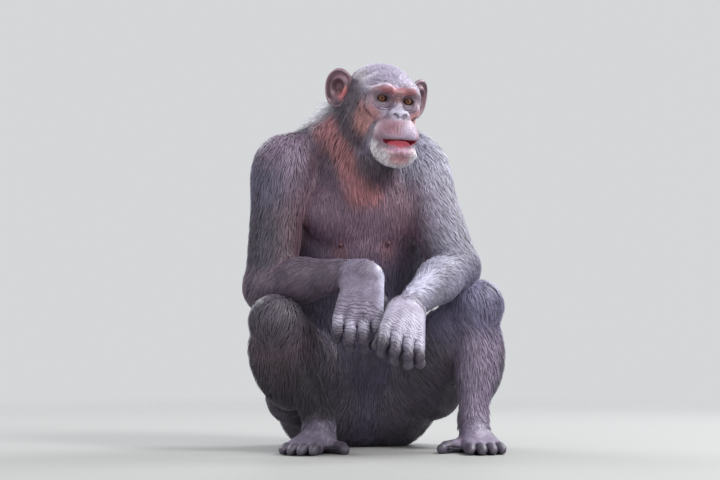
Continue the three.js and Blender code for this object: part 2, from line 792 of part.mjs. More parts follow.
for (const side of ["right", "left"]) {
  const limb = limbs[side];
  const outer = (turn) => (side === "right" ? turn : 360 - turn);
  const arm = armTubes(limb);
  const palmTube = palm(side);
  const palmClear = palmTube(gap);
  const splitAt = (shift) => limb.elbow.clone().addScaledVector(arm.splitNormal, shift);
  const towardsUpper = arm.splitNormal.clone().negate();
  const upperHalf = (grow) => keepSide(arm.upper(grow), towardsUpper, splitAt(grow - gap / 2));
  const lowerHalf = (grow) => keepSide(arm.lower(grow), arm.splitNormal, splitAt(gap / 2 - grow));
  const armClear = upperHalf(gap).add(lowerHalf(gap));
  const upperLocks = lockBed({
    ...arm.upperShape,
    rows: [0.12, 0.42, 0.72],
    turns: [outer(55), outer(125)],
    lie: down,
    size: lockSizes.arm,
    seed: 21,
  });
  const lowerLocks = lockBed({
    ...arm.lowerShape,
    rows: [0.66, 0.3],
    turns: [140, 200],
    lie: limb.elbow.clone().sub(limb.wrist).normalize().add(down),
    size: lockSizes.fringe,
    seed: 22,
  });
  const upperCore = upperHalf(0).subtract(trunkClear).subtract(neckClear);
  addCoated("upper_arm_" + side, upperCore, upperHalf(gap), upperLocks);
  addCoated("forearm_" + side, lowerHalf(0).subtract(palmClear), lowerHalf(gap), lowerLocks);
  place("hand_" + side, palmTube(), handSkin);

  const across = knuckles[side][3].clone().sub(knuckles[side][0]);
  let taken = palmClear;
  fingerNames.forEach((name, i) => {
    const finger = digit(fingerPoints(side, i), fingerRadius, across, 5);
    place("finger_" + name + "_" + side, finger().subtract(taken), handSkin);
    taken = taken.add(finger(gap));
  });
  const thumb = digit(thumbs[side], thumbRadius, across, 4);
  place("thumb_" + side, thumb().subtract(taken), handSkin);
  neighbours.push({ grown: taken.add(thumb(gap)) });

  const thighShape = { form: thighForm(limb), spine: [limb.hip, limb.knee], face: up };
  const thigh = tube({ ...thighShape, rings: 7, sides: 15, startFans: [22, 45, 68] });
  const shinSpine = [limb.knee.clone().lerp(limb.ankle, 0.06), limb.ankle];
  const shinShape = { form: shinForm(limb), spine: shinSpine, face: front };
  const shin = tube({ ...shinShape, rings: 7, sides: 13 });
  const footTube = foot(limb);
  const footClear = footTube(gap);
  const thighLocks = lockBed({
    ...thighShape,
    rows: [0.2, 0.42, 0.64],
    turns: [outer(65), outer(140)],
    lie: limb.knee.clone().sub(limb.hip).normalize().multiplyScalar(0.5).add(down),
    size: lockSizes.leg,
    seed: 31,
  });
  const shinLocks = lockBed({
    ...shinShape,
    rows: [0.24, 0.46, 0.68],
    turns: [outer(75), outer(150)],
    lie: down,
    size: lockSizes.leg,
    seed: 32,
  });
  const thighCore = onFloor(thigh().subtract(trunkClear).subtract(armClear));
  addCoated("thigh_" + side, thighCore, thigh(gap), thighLocks);
  const shinClear = [thigh(gap), armClear, trunkClear, footClear];
  const shinCore = shinClear.reduce((solid, other) => solid.subtract(other), shin());
  addCoated("shin_" + side, shinCore, shin(gap), shinLocks);
  place("foot_" + side, onFloor(footTube()), handSkin);

  taken = footClear;
  toeNames.forEach((name, i) => {
    const toe = digit(toePoints(limb, i), toeRadius, up, 3, 6);
    place("toe_" + name + "_" + side, onFloor(toe().subtract(taken)), handSkin);
    taken = taken.add(toe(gap));
  });
  const bigToePoints = bigToe.map((row) => footPoint(limb, ...row));
  const big = digit(bigToePoints, bigToeRadius, up, 3, 7);
  place("toe_big_" + side, onFloor(big().subtract(taken)), handSkin);
  neighbours.push({ grown: taken.add(big(gap)) });
}

// The locks grow out of their pieces, clear of the neighbours and of the locks already laid.
const laid = [];
for (const piece of coated) {
  let locks = joined(piece.makers);
  for (const other of neighbours) {
    if (other !== piece) locks = locks.subtract(other.grown);
  }
  for (const earlier of laid) locks = locks.subtract(earlier);
  laid.push(joined(piece.makers, gap));
  const whole = piece.core.add(onFloor(locks));
  if (piece === headPiece) place(piece.name, inHead(whole), faceSkin, headGroup);
  else place(piece.name, whole, coat);
}

export default model;
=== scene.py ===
import math

import bmesh
import bpy
import numpy as np
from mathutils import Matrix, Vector


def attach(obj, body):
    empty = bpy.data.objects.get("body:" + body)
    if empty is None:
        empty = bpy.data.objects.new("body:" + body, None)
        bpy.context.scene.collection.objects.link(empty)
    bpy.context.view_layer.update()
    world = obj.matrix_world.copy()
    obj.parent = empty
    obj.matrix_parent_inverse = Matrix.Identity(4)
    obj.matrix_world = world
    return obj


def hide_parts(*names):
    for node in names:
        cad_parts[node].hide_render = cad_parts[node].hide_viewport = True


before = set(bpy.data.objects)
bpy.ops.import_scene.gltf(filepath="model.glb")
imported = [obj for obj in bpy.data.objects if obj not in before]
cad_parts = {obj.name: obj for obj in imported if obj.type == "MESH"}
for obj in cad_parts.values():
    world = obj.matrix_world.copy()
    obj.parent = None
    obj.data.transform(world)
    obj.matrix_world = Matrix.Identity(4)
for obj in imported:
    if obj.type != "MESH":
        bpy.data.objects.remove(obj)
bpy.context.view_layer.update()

# Forms are worked out in millimetres, as distances that are negative inside, and meshes in metres.
mm = 0.001
up = np.array([0.0, 0.0, 1.0])
down = -up
front = np.array([0.0, -1.0, 0.0])


def vec(x, y, z):
    return np.array([x, y, z], float)


def unit(v):
    return v / np.maximum(np.linalg.norm(v, axis=-1, keepdims=True), 1e-9)


def turnAbout(axis, angle):
    x, y, z = unit(np.array(axis, float))
    c, s = math.cos(angle), math.sin(angle)
    cross = np.array([[0, -z, y], [z, 0, -x], [-y, x, 0]])
    return np.eye(3) * c + s * cross + (1 - c) * np.outer([x, y, z], [x, y, z])


def smoothStep(low, high, x):
    t = np.clip((x - low) / (high - low), 0, 1)
    return t * t * (3 - 2 * t)


# forms
def cone(a, b, ra, rb=None):
    rb = ra if rb is None else rb
    axis = b - a
    lengthSq = max(float(axis @ axis), 1e-9)

    def form(p):
        rel = p - a
        t = np.clip(rel @ axis / lengthSq, 0, 1)
        return np.linalg.norm(rel - t[:, None] * axis, axis=1) - (ra + (rb - ra) * t)
    form.parts = [("cone", a, b, ra, rb)]
    return form


def oval(centre, radii, turn=None):
    radii = np.array(radii, float)
    turn = np.eye(3) if turn is None else turn

    def form(p):
        q = (p - centre) @ turn
        near = np.linalg.norm(q / radii, axis=1)
        slope = np.linalg.norm(q / radii ** 2, axis=1)
        return np.where(slope < 1e-9, -radii.min(), near * (near - 1) / np.maximum(slope, 1e-9))
    form.parts = [("oval", centre, radii, turn)]
    return form


def ovalAlong(centre, direction, radii, face=front):
    z = unit(direction)
    y = unit(face - z * (face @ z))
    return oval(centre, radii, np.stack([np.cross(y, z), y, z], axis=1))


def blended(forms, softness):
    def form(p):
        d = forms[0](p)
        for other in forms[1:]:
            e = other(p)
            h = np.maximum(softness - np.abs(d - e), 0) / softness
            d = np.minimum(d, e) - h * h * softness / 4
        return d
    form.parts = [part for f in forms for part in f.parts]
    return form


def hollowed(base, hollows, softness):
    def form(p):
        d = base(p)
        for hollow in hollows:
            e = -hollow(p)
            h = np.maximum(softness - np.abs(d - e), 0) / softness
            d = np.maximum(d, e) + h * h * softness / 4
        return d
    form.parts = base.parts
    return form


# posture, the same named sizes as the solids
bodyTurn = math.radians(16)
bodyLean = -0.02
turned = turnAbout(up, bodyTurn)


def trunkPoint(across, forward, height):
    return turned @ vec(across, -forward, 0) + vec(bodyLean * height, 0, height)


limbs = {
    "Right": {
        "sign": -1,
        "shoulder": vec(-157, -100, 609),
        "elbow": vec(-186, -160, 352),
        "wrist": vec(19, -300, 383),
        "hip": trunkPoint(-86, 28, 104),
        "knee": vec(-170, -248, 278),
        "ankle": vec(-78, -196, 66),
        "calfOut": 38,
        "footTurn": math.radians(-12),
        "knuckles": [vec(44, -324, 284), vec(16, -330, 280), vec(-11, -326, 279), vec(-36, -314, 288)],
        "bends": [vec(0, -0.6, -0.8), vec(0, 0.8, -0.6), vec(0, 0.9, 0.43)],
        "thumb": [vec(36, -288, 352), vec(56, -280, 322), vec(54, -274, 288)],
    },
    "Left": {
        "sign": 1,
        "shoulder": vec(133, -16, 601),
        "elbow": vec(213, -160, 391),
        "wrist": vec(106, -345, 307),
        "hip": trunkPoint(86, 28, 104),
        "knee": vec(260, -152, 310),
        "ankle": vec(252, -172, 68),
        "calfOut": 8,
        "footTurn": math.radians(4),
        "knuckles": [vec(62, -418, 268), vec(85, -428, 258), vec(108, -424, 247), vec(130, -412, 239)],
        "bends": [vec(-0.05, -0.68, -0.73), vec(0, 0.72, -0.69), vec(0, 0.92, 0.39)],
        "thumb": [vec(82, -356, 284), vec(58, -374, 262), vec(42, -386, 232)],
    },
}

digits = {
    "fingerRadius": 11.2,
    "thumbRadius": 11.5,
    "toeRadius": 10.4,
    "bigToeRadius": 13,
    "phalanges": [[42, 28, 20], [46, 32, 21], [44, 30, 20], [36, 24, 18]],
    "fingerSpread": 0.05,
    "toeRoots": [[112, 20], [118, -1], [113, -22], [102, -41]],
    "toeLengths": [[25, 18, 14], [27, 20, 14], [25, 18, 13], [21, 15, 12]],
    "toeHeights": [12.5, 14, 12, 9.6],
    "bigToe": [[58, 44, 13], [82, 66, 12], [106, 78, 10]],
    "rings": 22,
    "sides": 14,
    "tipLeans": [22, 44, 66],  # degrees, for the rings over the tip
}

headPlace = {
    "centre": vec(56, -116, 746),
    "turn": math.radians(19),
    "drop": math.radians(6),
    "tilt": math.radians(6.5),
}
headAxes = (
    turnAbout(up, headPlace["turn"])
    @ turnAbout([1, 0, 0], headPlace["drop"])
    @ turnAbout([0, 1, 0], headPlace["tilt"])
)


def toHead(p):
    return (p - headPlace["centre"]) @ headAxes


def toWorld(q):
    return q @ headAxes.T + headPlace["centre"]


def trunkForm():
    stoop = turned @ turnAbout([1, 0, 0], math.radians(9))
    forms = [
        oval(trunkPoint(0, 0, 92), [140, 104, 98], turned),  # hips
        oval(trunkPoint(0, 18, 200), [148, 118, 130], turned),  # belly
        oval(trunkPoint(0, 6, 300), [150, 114, 130], turned),
        oval(trunkPoint(0, -14, 470), [96, 88, 150], turned),  # back
        oval(trunkPoint(0, 18, 415), [160, 118, 165], stoop),  # ribs
        oval(trunkPoint(0, 46, 552), [156, 84, 88], turned),  # upper chest
        oval(trunkPoint(0, 4, 586), [84, 72, 72], turned),
    ]
    for side in (-1, 1):
        forms.append(oval(trunkPoint(76 * side, -12, 70), [86, 90, 76], turned))  # seat
        forms.append(oval(trunkPoint(66 * side, 110, 505), [72, 38, 60], turned))  # breast
        forms.append(oval(trunkPoint(82 * side, -26, 515), [78, 62, 112], turned))  # shoulder blade
        forms.append(cone(trunkPoint(124 * side, 46, 644), trunkPoint(12 * side, 52, 690), 42, 60))
        forms.append(cone(trunkPoint(128 * side, 14, 612), trunkPoint(20 * side, 22, 654), 42, 60))
    return blended(forms, 30)


def neckForm():
    centre = headPlace["centre"]
    return blended([
        cone(trunkPoint(0, 56, 610), centre + vec(-14, 22, -30), 92, 72),
        cone(trunkPoint(0, 26, 610), centre + vec(-30, 42, -18), 94, 70),
        cone(trunkPoint(0, 100, 590), centre + vec(10, -30, -76), 50, 36),
    ], 30)


face = {
    "eye": vec(30, -72, 14),
    "eyeRadius": 12.5,
    "mouthTop": -67,
    "mouthWide": 37,
    "mouthHigh": 16,
    "mouthDeep": 24,
    "jawAside": 6,
    "lidOpening": [10.2, 6.4],
    "lidDeep": 9,
    "gazeTurn": math.radians(-8),
}


def eyeAt(side):
    return face["eye"] * vec(side, 1, 1)


def headForm():
    aside = face["jawAside"]
    forms = [
        oval(vec(0, 18, 28), [72, 88, 60]),  # skull
        oval(vec(0, -44, 40), [58, 34, 30]),  # forehead
        oval(vec(0, -57, -2), [53, 36, 44]),  # middle of the face
        cone(vec(0, -86, 20), vec(1, -108, -13), 8, 12),  # nose
        oval(vec(5, -90, -58), [51, 54, 42]),  # muzzle
        oval(vec(aside, -112, -62), [44, 33, 15]),  # upper lip
        oval(vec(aside + 2, -112, -96), [39, 33, 12]),  # lower lip
        oval(vec(aside + 6, -98, -105), [40, 34, 24]),  # chin
        cone(vec(0, -10, -60), vec(4, -70, -88), 42, 32),  # throat
        oval(vec(0, 12, -28), [52, 56, 44]),  # base of the skull
    ]
    for side in (-1, 1):
        forms.append(cone(vec(8 * side, -88, 28), vec(27 * side, -90, 38), 8, 9))  # brow
        forms.append(cone(vec(27 * side, -90, 38), vec(54 * side, -68, 28), 9, 8.5))
        forms.append(oval(vec(50 * side, -30, 14), [23, 42, 38]))  # temple
        forms.append(oval(vec(44 * side, -64, -6), [20, 25, 17]))  # cheekbone
        forms.append(cone(vec(46 * side, -4, -50), vec(22 * side + 4, -80, -96), 24, 22))  # jaw
        forms.append(oval(vec(38 * side, -26, -34), [27, 46, 44]))  # cheek
        forms.append(oval(vec(1 + 13 * side, -112, -17), [11, 9.5, 8.5]))  # wing of the nose
    sockets = [oval(vec(30 * side, -99, 14), [20, 20, 12.5]) for side in (-1, 1)]
    lids = [oval(eyeAt(side), [16.5, 15, 14.5]) for side in (-1, 1)]
    return blended([hollowed(blended(forms, 14), sockets, 8), *lids], 4)


def mouthInset(q):
    # how far inside the outline of the open mouth a point is, seen from the front
    aside = (q[:, 0] - face["jawAside"]) / face["mouthWide"]
    below = face["mouthTop"] + 2.5 * aside - 1.5 * aside ** 2 - q[:, 2]
    edge = np.hypot(aside, below / face["mouthHigh"])
    return np.minimum((1 - edge) * 0.9 * face["mouthHigh"], below)


def pushedIn(q):
    # how far the skin lies behind the plain form in the mouth and between the lids
    front = smoothStep(-84, -92, q[:, 1])
    inset = mouthInset(q)
    push = front * (2.5 * smoothStep(-5, 1, inset) + face["mouthDeep"] * smoothStep(-0.4, 2.6, inset))
    for side in (-1, 1):
        eye = eyeAt(side)
        wide, high = face["lidOpening"]
        edge = np.hypot((q[:, 0] - eye[0]) / wide, (q[:, 2] - eye[2] + 1) / high)
        ahead = smoothStep(-4, -6, q[:, 1] - eye[1])
        push = push + face["lidDeep"] * ahead * smoothStep(1.14, 0.92, edge)
    return push


plainHead = headForm()
nostrils = []
for side in (-1, 1):
    slant = turnAbout([0, 1, 0], math.radians(-32 * side))
    nostrils.append(oval(vec(1 + 9 * side, -122, -20), [6.5, 8, 3.4], slant))
carvedHead = hollowed(plainHead, nostrils, 2.5)


def ripple(x, pitch):
    return np.sin(x * 2 * math.pi / pitch)


def creases(q):
    # folds of the bare skin, in millimetres out of it
    mirrored = np.abs(q[:, 0])
    eye = face["eye"]
    fromEye = np.hypot(mirrored - eye[0] + 3, (q[:, 2] - eye[2]) * 1.15)
    above = q[:, 2] - eye[2]
    under = smoothStep(2, -6, above) * smoothStep(14, 18, fromEye) * smoothStep(36, 27, fromEye)
    out = 0.75 * under * ripple(fromEye, 6.2)
    over = smoothStep(4, 9, above) * smoothStep(14, 16, fromEye) * smoothStep(24, 20, fromEye)
    out -= 0.8 * over * ripple(fromEye, 6.2)
    aside = q[:, 0] - face["jawAside"]
    lip = smoothStep(44, 34, np.abs(aside)) * smoothStep(-60, -50, q[:, 2]) * smoothStep(-28, -38, q[:, 2])
    fan = aside / (1 + 0.006 * (q[:, 2] + 66))
    fan = fan + 1.6 * np.sin(q[:, 2] / 4.5) + 1.2 * np.sin(aside / 7)
    out += 0.3 * lip * ripple(fan, 6.1) * smoothStep(-90, -104, q[:, 1])
    low = smoothStep(40, 30, np.abs(aside)) * smoothStep(-120, -112, q[:, 2]) * smoothStep(-98, -104, q[:, 2])
    out += 0.4 * low * ripple(aside, 7.5) * smoothStep(-90, -104, q[:, 1])
    browTop = smoothStep(52, 56, q[:, 2]) * smoothStep(74, 66, q[:, 2]) * smoothStep(46, 30, mirrored)
    out += 0.5 * browTop * ripple(q[:, 2], 7) * smoothStep(-40, -60, q[:, 1])
    bridge = smoothStep(9, 5, mirrored) * smoothStep(10, 16, q[:, 2]) * smoothStep(30, 24, q[:, 2])
    return out + 0.5 * bridge * ripple(q[:, 2], 5.5)


def worldForm(form):
    def moved(p):
        return form(toHead(p))
    moved.parts = [
        ("cone", toWorld(q[1]), toWorld(q[2]), q[3], q[4]) if q[0] == "cone"
        else ("oval", toWorld(q[1]), q[2], headAxes @ q[3])
        for q in form.parts
    ]
    return moved


def armForms(limb):
    shoulder, elbow, wrist, sign = limb["shoulder"], limb["elbow"], limb["wrist"], limb["sign"]
    fall = unit(elbow - shoulder)
    out = unit(wrist - elbow)
    forward = trunkPoint(0, 1, 0)
    mid = elbow + 0.35 * (wrist - elbow) + vec(0, 0, 3)

    def at(share, shift):
        return shoulder + share * (elbow - shoulder) + forward * shift
    point = ovalAlong(elbow - 14 * out, fall, [36, 38, 46], forward)
    upper = blended([
        ovalAlong(at(0.08, 2) + vec(2 * sign, 0, 6), fall, [63, 68, 86], forward),
        cone(at(0.15, 20), at(0.75, 16), 48, 42),
        cone(at(0.15, -22), at(0.85, -12), 52, 44),
        cone(shoulder, elbow, 60, 47),
        point,
    ], 22)
    lower = blended([cone(elbow, mid, 47, 46), cone(mid, wrist, 45, 30), point], 22)
    return upper, lower


def palmForm(limb):
    points = limb["knuckles"]
    across = unit(points[3] - points[0])
    forms = [cone(limb["wrist"] + across * (i - 1.5) * 13, points[i], 22, 14) for i in range(4)]
    forms.append(cone(limb["wrist"], limb["thumb"][0], 22, 17))
    return blended(forms, 9)


def thighForm(limb):
    hip, knee, sign = limb["hip"], limb["knee"], limb["sign"]
    along = unit(knee - hip)
    under = unit(down + along * along[2])
    return blended([
        cone(hip, knee, 86, 46),
        cone(hip + vec(0, 0, 34), knee + vec(0, 0, 2), 78, 46),
        ovalAlong(hip + 0.45 * (knee - hip) + 12 * under, along, [66, 70, 130], under),
        oval(hip + 0.3 * (knee - hip) + vec(26 * sign, 20, -44), [64, 82, 62]),
        cone(hip + vec(6 * sign, 14, -4), hip, 78, 80),
        cone(knee, knee, 48),
    ], 24)


def shinForm(limb):
    knee, ankle = limb["knee"], limb["ankle"]
    along = unit(ankle - knee)
    calf = knee + 0.46 * (ankle - knee) + vec(limb["calfOut"] * limb["sign"], 26, 0)
    return blended([
        cone(knee, ankle, 46, 31),
        ovalAlong(calf, along, [56, 54, 100]),
        cone(knee + 6 * along, knee, 46),
    ], 22)


def footPoint(limb, along, inward, height):
    place = turnAbout(up, limb["footTurn"]) @ vec(-inward * limb["sign"], -along, 0)
    return vec(limb["ankle"][0] + place[0], limb["ankle"][1] + place[1], height)


def footForm(limb):
    def at(along, inward, height):
        return footPoint(limb, along, inward, height)
    forms = [
        cone(at(-40, 0, 27), at(-8, 0, 32), 28, 30),
        cone(at(0, 0, 64), at(52, 4, 34), 32, 25),
        cone(at(20, 8, 22), at(*digits["bigToe"][0]), 19, 14.5),
    ]
    for along, inward in digits["toeRoots"]:
        forms.append(cone(at(14, inward * 0.5, 26), at(along, inward, 13), 21, 12.6))
    return blended(forms, 12)


def fingerPoints(limb, i):
    points = [limb["knuckles"][i]]
    for k, bend in enumerate(limb["bends"]):
        spread = vec((i - 1.5) * digits["fingerSpread"] * limb["sign"], 0, 0)
        points.append(points[k] + unit(bend + spread) * digits["phalanges"][i][k])
    return points


def toePoints(limb, i):
    along, inward = digits["toeRoots"][i]
    points = []
    for k, height in enumerate(digits["toeHeights"]):
        if k:
            along += digits["toeLengths"][i][k - 1]
        points.append(footPoint(limb, along, inward * (1 + 0.04 * k), height))
    return points


def bigToePoints(limb):
    return [footPoint(limb, *row) for row in digits["bigToe"]]


def digitForm(points, radius):
    forms = []
    for i, (a, b) in enumerate(zip(points, points[1:])):
        forms.append(cone(a, b, radius * (1 - 0.07 * i), radius * (0.93 - 0.07 * i)))
        forms.append(cone(a, a, radius * (1.08 - 0.05 * i)))
    middle = (points[0] + points[1]) / 2
    forms.append(cone(middle, middle, radius * 1.13))
    return blended(forms, 5)


def middleOf(limb):
    return (limb["knuckles"][1] + limb["knuckles"][2]) / 2


# Each region of the body has a form, and a line down its middle for the lie of the coat.
regions = {
    "trunk": {"form": trunkForm(), "line": [trunkPoint(0, 0, 34), trunkPoint(0, 56, 640)]},
    "neck": {"form": neckForm(), "line": [trunkPoint(0, 56, 600), headPlace["centre"] + vec(-14, 22, -30)]},
    "head": {"form": worldForm(plainHead), "line": [toWorld(vec(0, -20, -80)), toWorld(vec(0, -10, 70))]},
}
for name, limb in limbs.items():
    upper, lower = armForms(limb)
    regions["upperArm" + name] = {"form": upper, "line": [limb["shoulder"], limb["elbow"]]}
    regions["forearm" + name] = {"form": lower, "line": [limb["elbow"], limb["wrist"]]}
    regions["hand" + name] = {"form": palmForm(limb), "line": [limb["wrist"], middleOf(limb)]}
    regions["thigh" + name] = {"form": thighForm(limb), "line": [limb["hip"], limb["knee"]]}
    regions["shin" + name] = {"form": shinForm(limb), "line": [limb["knee"], limb["ankle"]]}
    toes = footPoint(limb, 110, 0, 14)
    regions["foot" + name] = {"form": footForm(limb), "line": [footPoint(limb, -30, 0, 30), toes]}

regionNames = list(regions)
# What grows out of what blends softly; limbs that only touch keep a crease between them.
softNeighbours = {("trunk", "neck"): 30, ("neck", "head"): 26}
for name in limbs:
    softNeighbours[("trunk", "upperArm" + name)] = 24
    softNeighbours[("upperArm" + name, "forearm" + name)] = 22
    softNeighbours[("forearm" + name, "hand" + name)] = 14
    softNeighbours[("trunk", "thigh" + name)] = 24
    softNeighbours[("thigh" + name, "shin" + name)] = 16
    softNeighbours[("shin" + name, "foot" + name)] = 16
creaseSoftness = 7
farOff = 90.0  # the distance given to points outside a region's reach


def reachOf(form):
    lows, highs = [], []
    for part in form.parts:
        if part[0] == "oval":
            spread = np.abs(part[3]) @ part[2]
            lows.append(part[1] - spread)
            highs.append(part[1] + spread)
        else:
            for centre, radius in ((part[1], part[3]), (part[2], part[4])):
                lows.append(centre - radius)
                highs.append(centre + radius)
    return np.min(lows, axis=0) - farOff / 2, np.max(highs, axis=0) + farOff / 2


for region in regions.values():
    region["reach"] = reachOf(region["form"])


def regionDistance(name, p):
    low, high = regions[name]["reach"]
    inReach = np.all((p > low) & (p < high), axis=1)
    d = np.full(len(p), farOff)
    d[inReach] = regions[name]["form"](p[inReach])
    return d


def regionDistances(p):
    return np.stack([regionDistance(name, p) for name in regionNames], axis=1)


def to(region, each):
    # the column of one region's distances
    return each[:, regionNames.index(region)]


def bodyDistance(p, distances=None):
    each = regionDistances(p) if distances is None else distances
    total = each[:, 0].copy()
    for i in range(1, len(regionNames)):
        softness = np.full(len(p), float(creaseSoftness))
        for (a, b), wide in softNeighbours.items():
            if b == regionNames[i]:
                softness = np.where(to(a, each) < total + 12, wide, softness)
        h = np.maximum(softness - np.abs(total - each[:, i]), 0) / softness
        total = np.minimum(total, each[:, i]) - h * h * softness / 4
    return total


# how deep the coat lies over the skin, and where skin is bare
coatDepth = {"body": 4.8, "head": 4.0}
upperMask = oval(vec(0, -86, 8), [66, 40, 46])
muzzleMask = oval(vec(5, -112, -66), [52, 48, 60])


def bareFace(q):
    # 1 on the face, 0 under the coat, in the head's own frame
    mirrored = np.abs(q[:, 0])
    mask = np.minimum(upperMask(q), muzzleMask(q)) + 2.2 * np.sin(q[:, 2] / 5) * np.sin(q[:, 0] / 6)
    browTop = 40 + 5 * smoothStep(2, 22, mirrored) - 0.5 * np.maximum(mirrored - 36, 0)
    return smoothStep(7, -3, mask) * smoothStep(browTop + 4, browTop - 2, q[:, 2])


def bareness(p, each):
    bare = bareFace(toHead(p)) * smoothStep(12, 2, to("head", each))
    for name, limb in limbs.items():
        hand = unit(regions["hand" + name]["line"][1] - limb["wrist"])
        past = (p - limb["wrist"]) @ hand
        isHand = smoothStep(-12, 14, past) * smoothStep(16, 4, to("hand" + name, each))
        isFoot = smoothStep(66, 44, p[:, 2]) * smoothStep(14, 4, to("foot" + name, each))
        bare = np.maximum(bare, np.maximum(isHand, isFoot))
    return bare


def skinLevel(p, each):
    head, neck = to("head", each), to("neck", each)
    headness = smoothStep(-30, 10, neck - head) * smoothStep(60, 40, head)
    depth = coatDepth["body"] + (coatDepth["head"] - coatDepth["body"]) * headness
    return -depth * (1 - bareness(p, each))


# small mesh helpers
def deselect():
    for o in list(bpy.context.selected_objects):
        o.select_set(False)


def meshObject(name, points, faces):
    mesh = bpy.data.meshes.new(name)
    mesh.from_pydata([tuple(v) for v in points], [], faces)
    made = bpy.data.objects.new(name, mesh)
    bpy.context.collection.objects.link(made)
    return made


def coordinates(o):
    flat = np.empty(len(o.data.vertices) * 3, np.float32)
    o.data.vertices.foreach_get("co", flat)
    return flat.reshape(-1, 3).astype(float)


def setCoordinates(o, points):
    o.data.vertices.foreach_set("co", points.astype(np.float32).ravel())
    o.data.update()


def setTone(o, tone):
    layer = o.data.attributes.new("tone", "FLOAT_COLOR", "POINT")
    full = np.ones((len(tone), 4), np.float32)
    full[:, :3] = tone
    layer.data.foreach_set("color", full.ravel())


def setValue(o, name, values):
    layer = o.data.attributes.new(name, "FLOAT", "POINT")
    layer.data.foreach_set("value", np.asarray(values, np.float32))


def hull(name, parts):
    # balls and tapered limbs, each a convex hull of spheres, as the start of the skin
    bm = bmesh.new()
    for part in parts:
        piece = bmesh.new()
        if part[0] == "oval":
            _, centre, radii, turn = part
            bmesh.ops.create_icosphere(piece, subdivisions=3, radius=1)
            for v in piece.verts:
                v.co = centre + turn @ (np.array(v.co) * radii)
        else:
            for centre, radius in ((part[1], part[3]), (part[2], part[4])):
                made = bmesh.ops.create_icosphere(piece, subdivisions=2, radius=radius)["verts"]
                for v in made:
                    v.co = np.array(v.co) + centre
            made = bmesh.ops.convex_hull(piece, input=piece.verts)
            inside = made["geom_interior"] + made["geom_unused"]
            loose = [g for g in inside if isinstance(g, bmesh.types.BMVert)]
            bmesh.ops.delete(piece, geom=loose, context="VERTS")
        scrap = bpy.data.meshes.new("scrap")
        piece.to_mesh(scrap)
        piece.free()
        bm.from_mesh(scrap)
        bpy.data.meshes.remove(scrap)
    mesh = bpy.data.meshes.new(name)
    bm.to_mesh(mesh)
    bm.free()
    made = bpy.data.objects.new(name, mesh)
    bpy.context.collection.objects.link(made)
    return made


def voxelRemesh(o, size):
    deselect()
    o.select_set(True)
    bpy.context.view_layer.objects.active = o
    remesh = o.modifiers.new("remesh", "REMESH")
    remesh.mode = "VOXEL"
    remesh.voxel_size = size
    bpy.ops.object.modifier_apply(modifier=remesh.name)


def subdivideWhere(o, chosen):
    # chosen takes face middles and says which of them get finer faces
    middles = np.empty(len(o.data.polygons) * 3, np.float32)
    o.data.polygons.foreach_get("center", middles)
    picked = chosen(middles.reshape(-1, 3).astype(float))
    bpy.context.view_layer.objects.active = o
    o.select_set(True)
    bpy.ops.object.mode_set(mode="EDIT")
    bpy.ops.mesh.select_mode(type="FACE")
    bpy.ops.mesh.select_all(action="DESELECT")
    bpy.ops.object.mode_set(mode="OBJECT")
    o.data.polygons.foreach_set("select", picked)
    bpy.ops.object.mode_set(mode="EDIT")
    bpy.ops.mesh.subdivide(number_cuts=1)
    bpy.ops.object.mode_set(mode="OBJECT")


def neighbourMean(o, points):
    edges = np.empty(len(o.data.edges) * 2, np.int32)
    o.data.edges.foreach_get("vertices", edges)
    a, b = edges.reshape(-1, 2).T
    total = np.zeros_like(points)
    count = np.bincount(np.concatenate([a, b]), minlength=len(points))[:, None]
    for axis in range(3):
        total[:, axis] = np.bincount(a, points[b, axis], len(points))
        total[:, axis] += np.bincount(b, points[a, axis], len(points))
    return total / np.maximum(count, 1)


def slopeOf(form, p, step=0.6):
    # the direction in which a form's distance grows, from four samples
    corners = np.array([[1, -1, -1], [-1, -1, 1], [-1, 1, -1], [1, 1, 1]], float)
    return unit(sum(form(p + c * step)[:, None] * c for c in corners))


# skin
skinBuild = {"voxel": 7.6, "relax": 3, "settle": 2, "mostMove": 12}


def skinDistance(p):
    each = regionDistances(p)
    return bodyDistance(p, each) - skinLevel(p, each)


def headSkinDistance(p):
    # near the head the carved form takes over, with the neck blended in
    each = regionDistances(p)
    q = toHead(p)
    carved = carvedHead(q)
    at = regionNames.index("head")
    each[:, at] = np.where(each[:, at] > -40, carved, each[:, at])
    return bodyDistance(p, each) - skinLevel(p, each) - creases(q)


def isHeadPoint(p):
    q = toHead(p)
    return (q[:, 2] > -150) & (q[:, 1] < 130) & (np.abs(q[:, 0]) < 100) & (q[:, 2] + 0.62 * q[:, 1] > -160) \
        & (regionDistance("head", p) < 14)


def isHandOrFoot(p):
    found = np.zeros(len(p), bool)
    for name in limbs:
        found |= regionDistance("hand" + name, p) < 5
        found |= regionDistance("foot" + name, p) < 5
    return found


def isFacePoint(p):
    q = toHead(p)
    return isHeadPoint(p) & (q[:, 1] < -48) & (q[:, 2] < 74)


def isLidOrLip(p):
    q = toHead(p)
    lips = (np.abs(q[:, 0] - face["jawAside"]) < 48) & (np.abs(q[:, 2] - face["mouthTop"] + 8) < 28)
    lids = (np.abs(np.abs(q[:, 0]) - face["eye"][0]) < 20) & (np.abs(q[:, 2] - face["eye"][2] + 4) < 19)
    return (lips | lids) & (q[:, 1] < -66) & isHeadPoint(p)


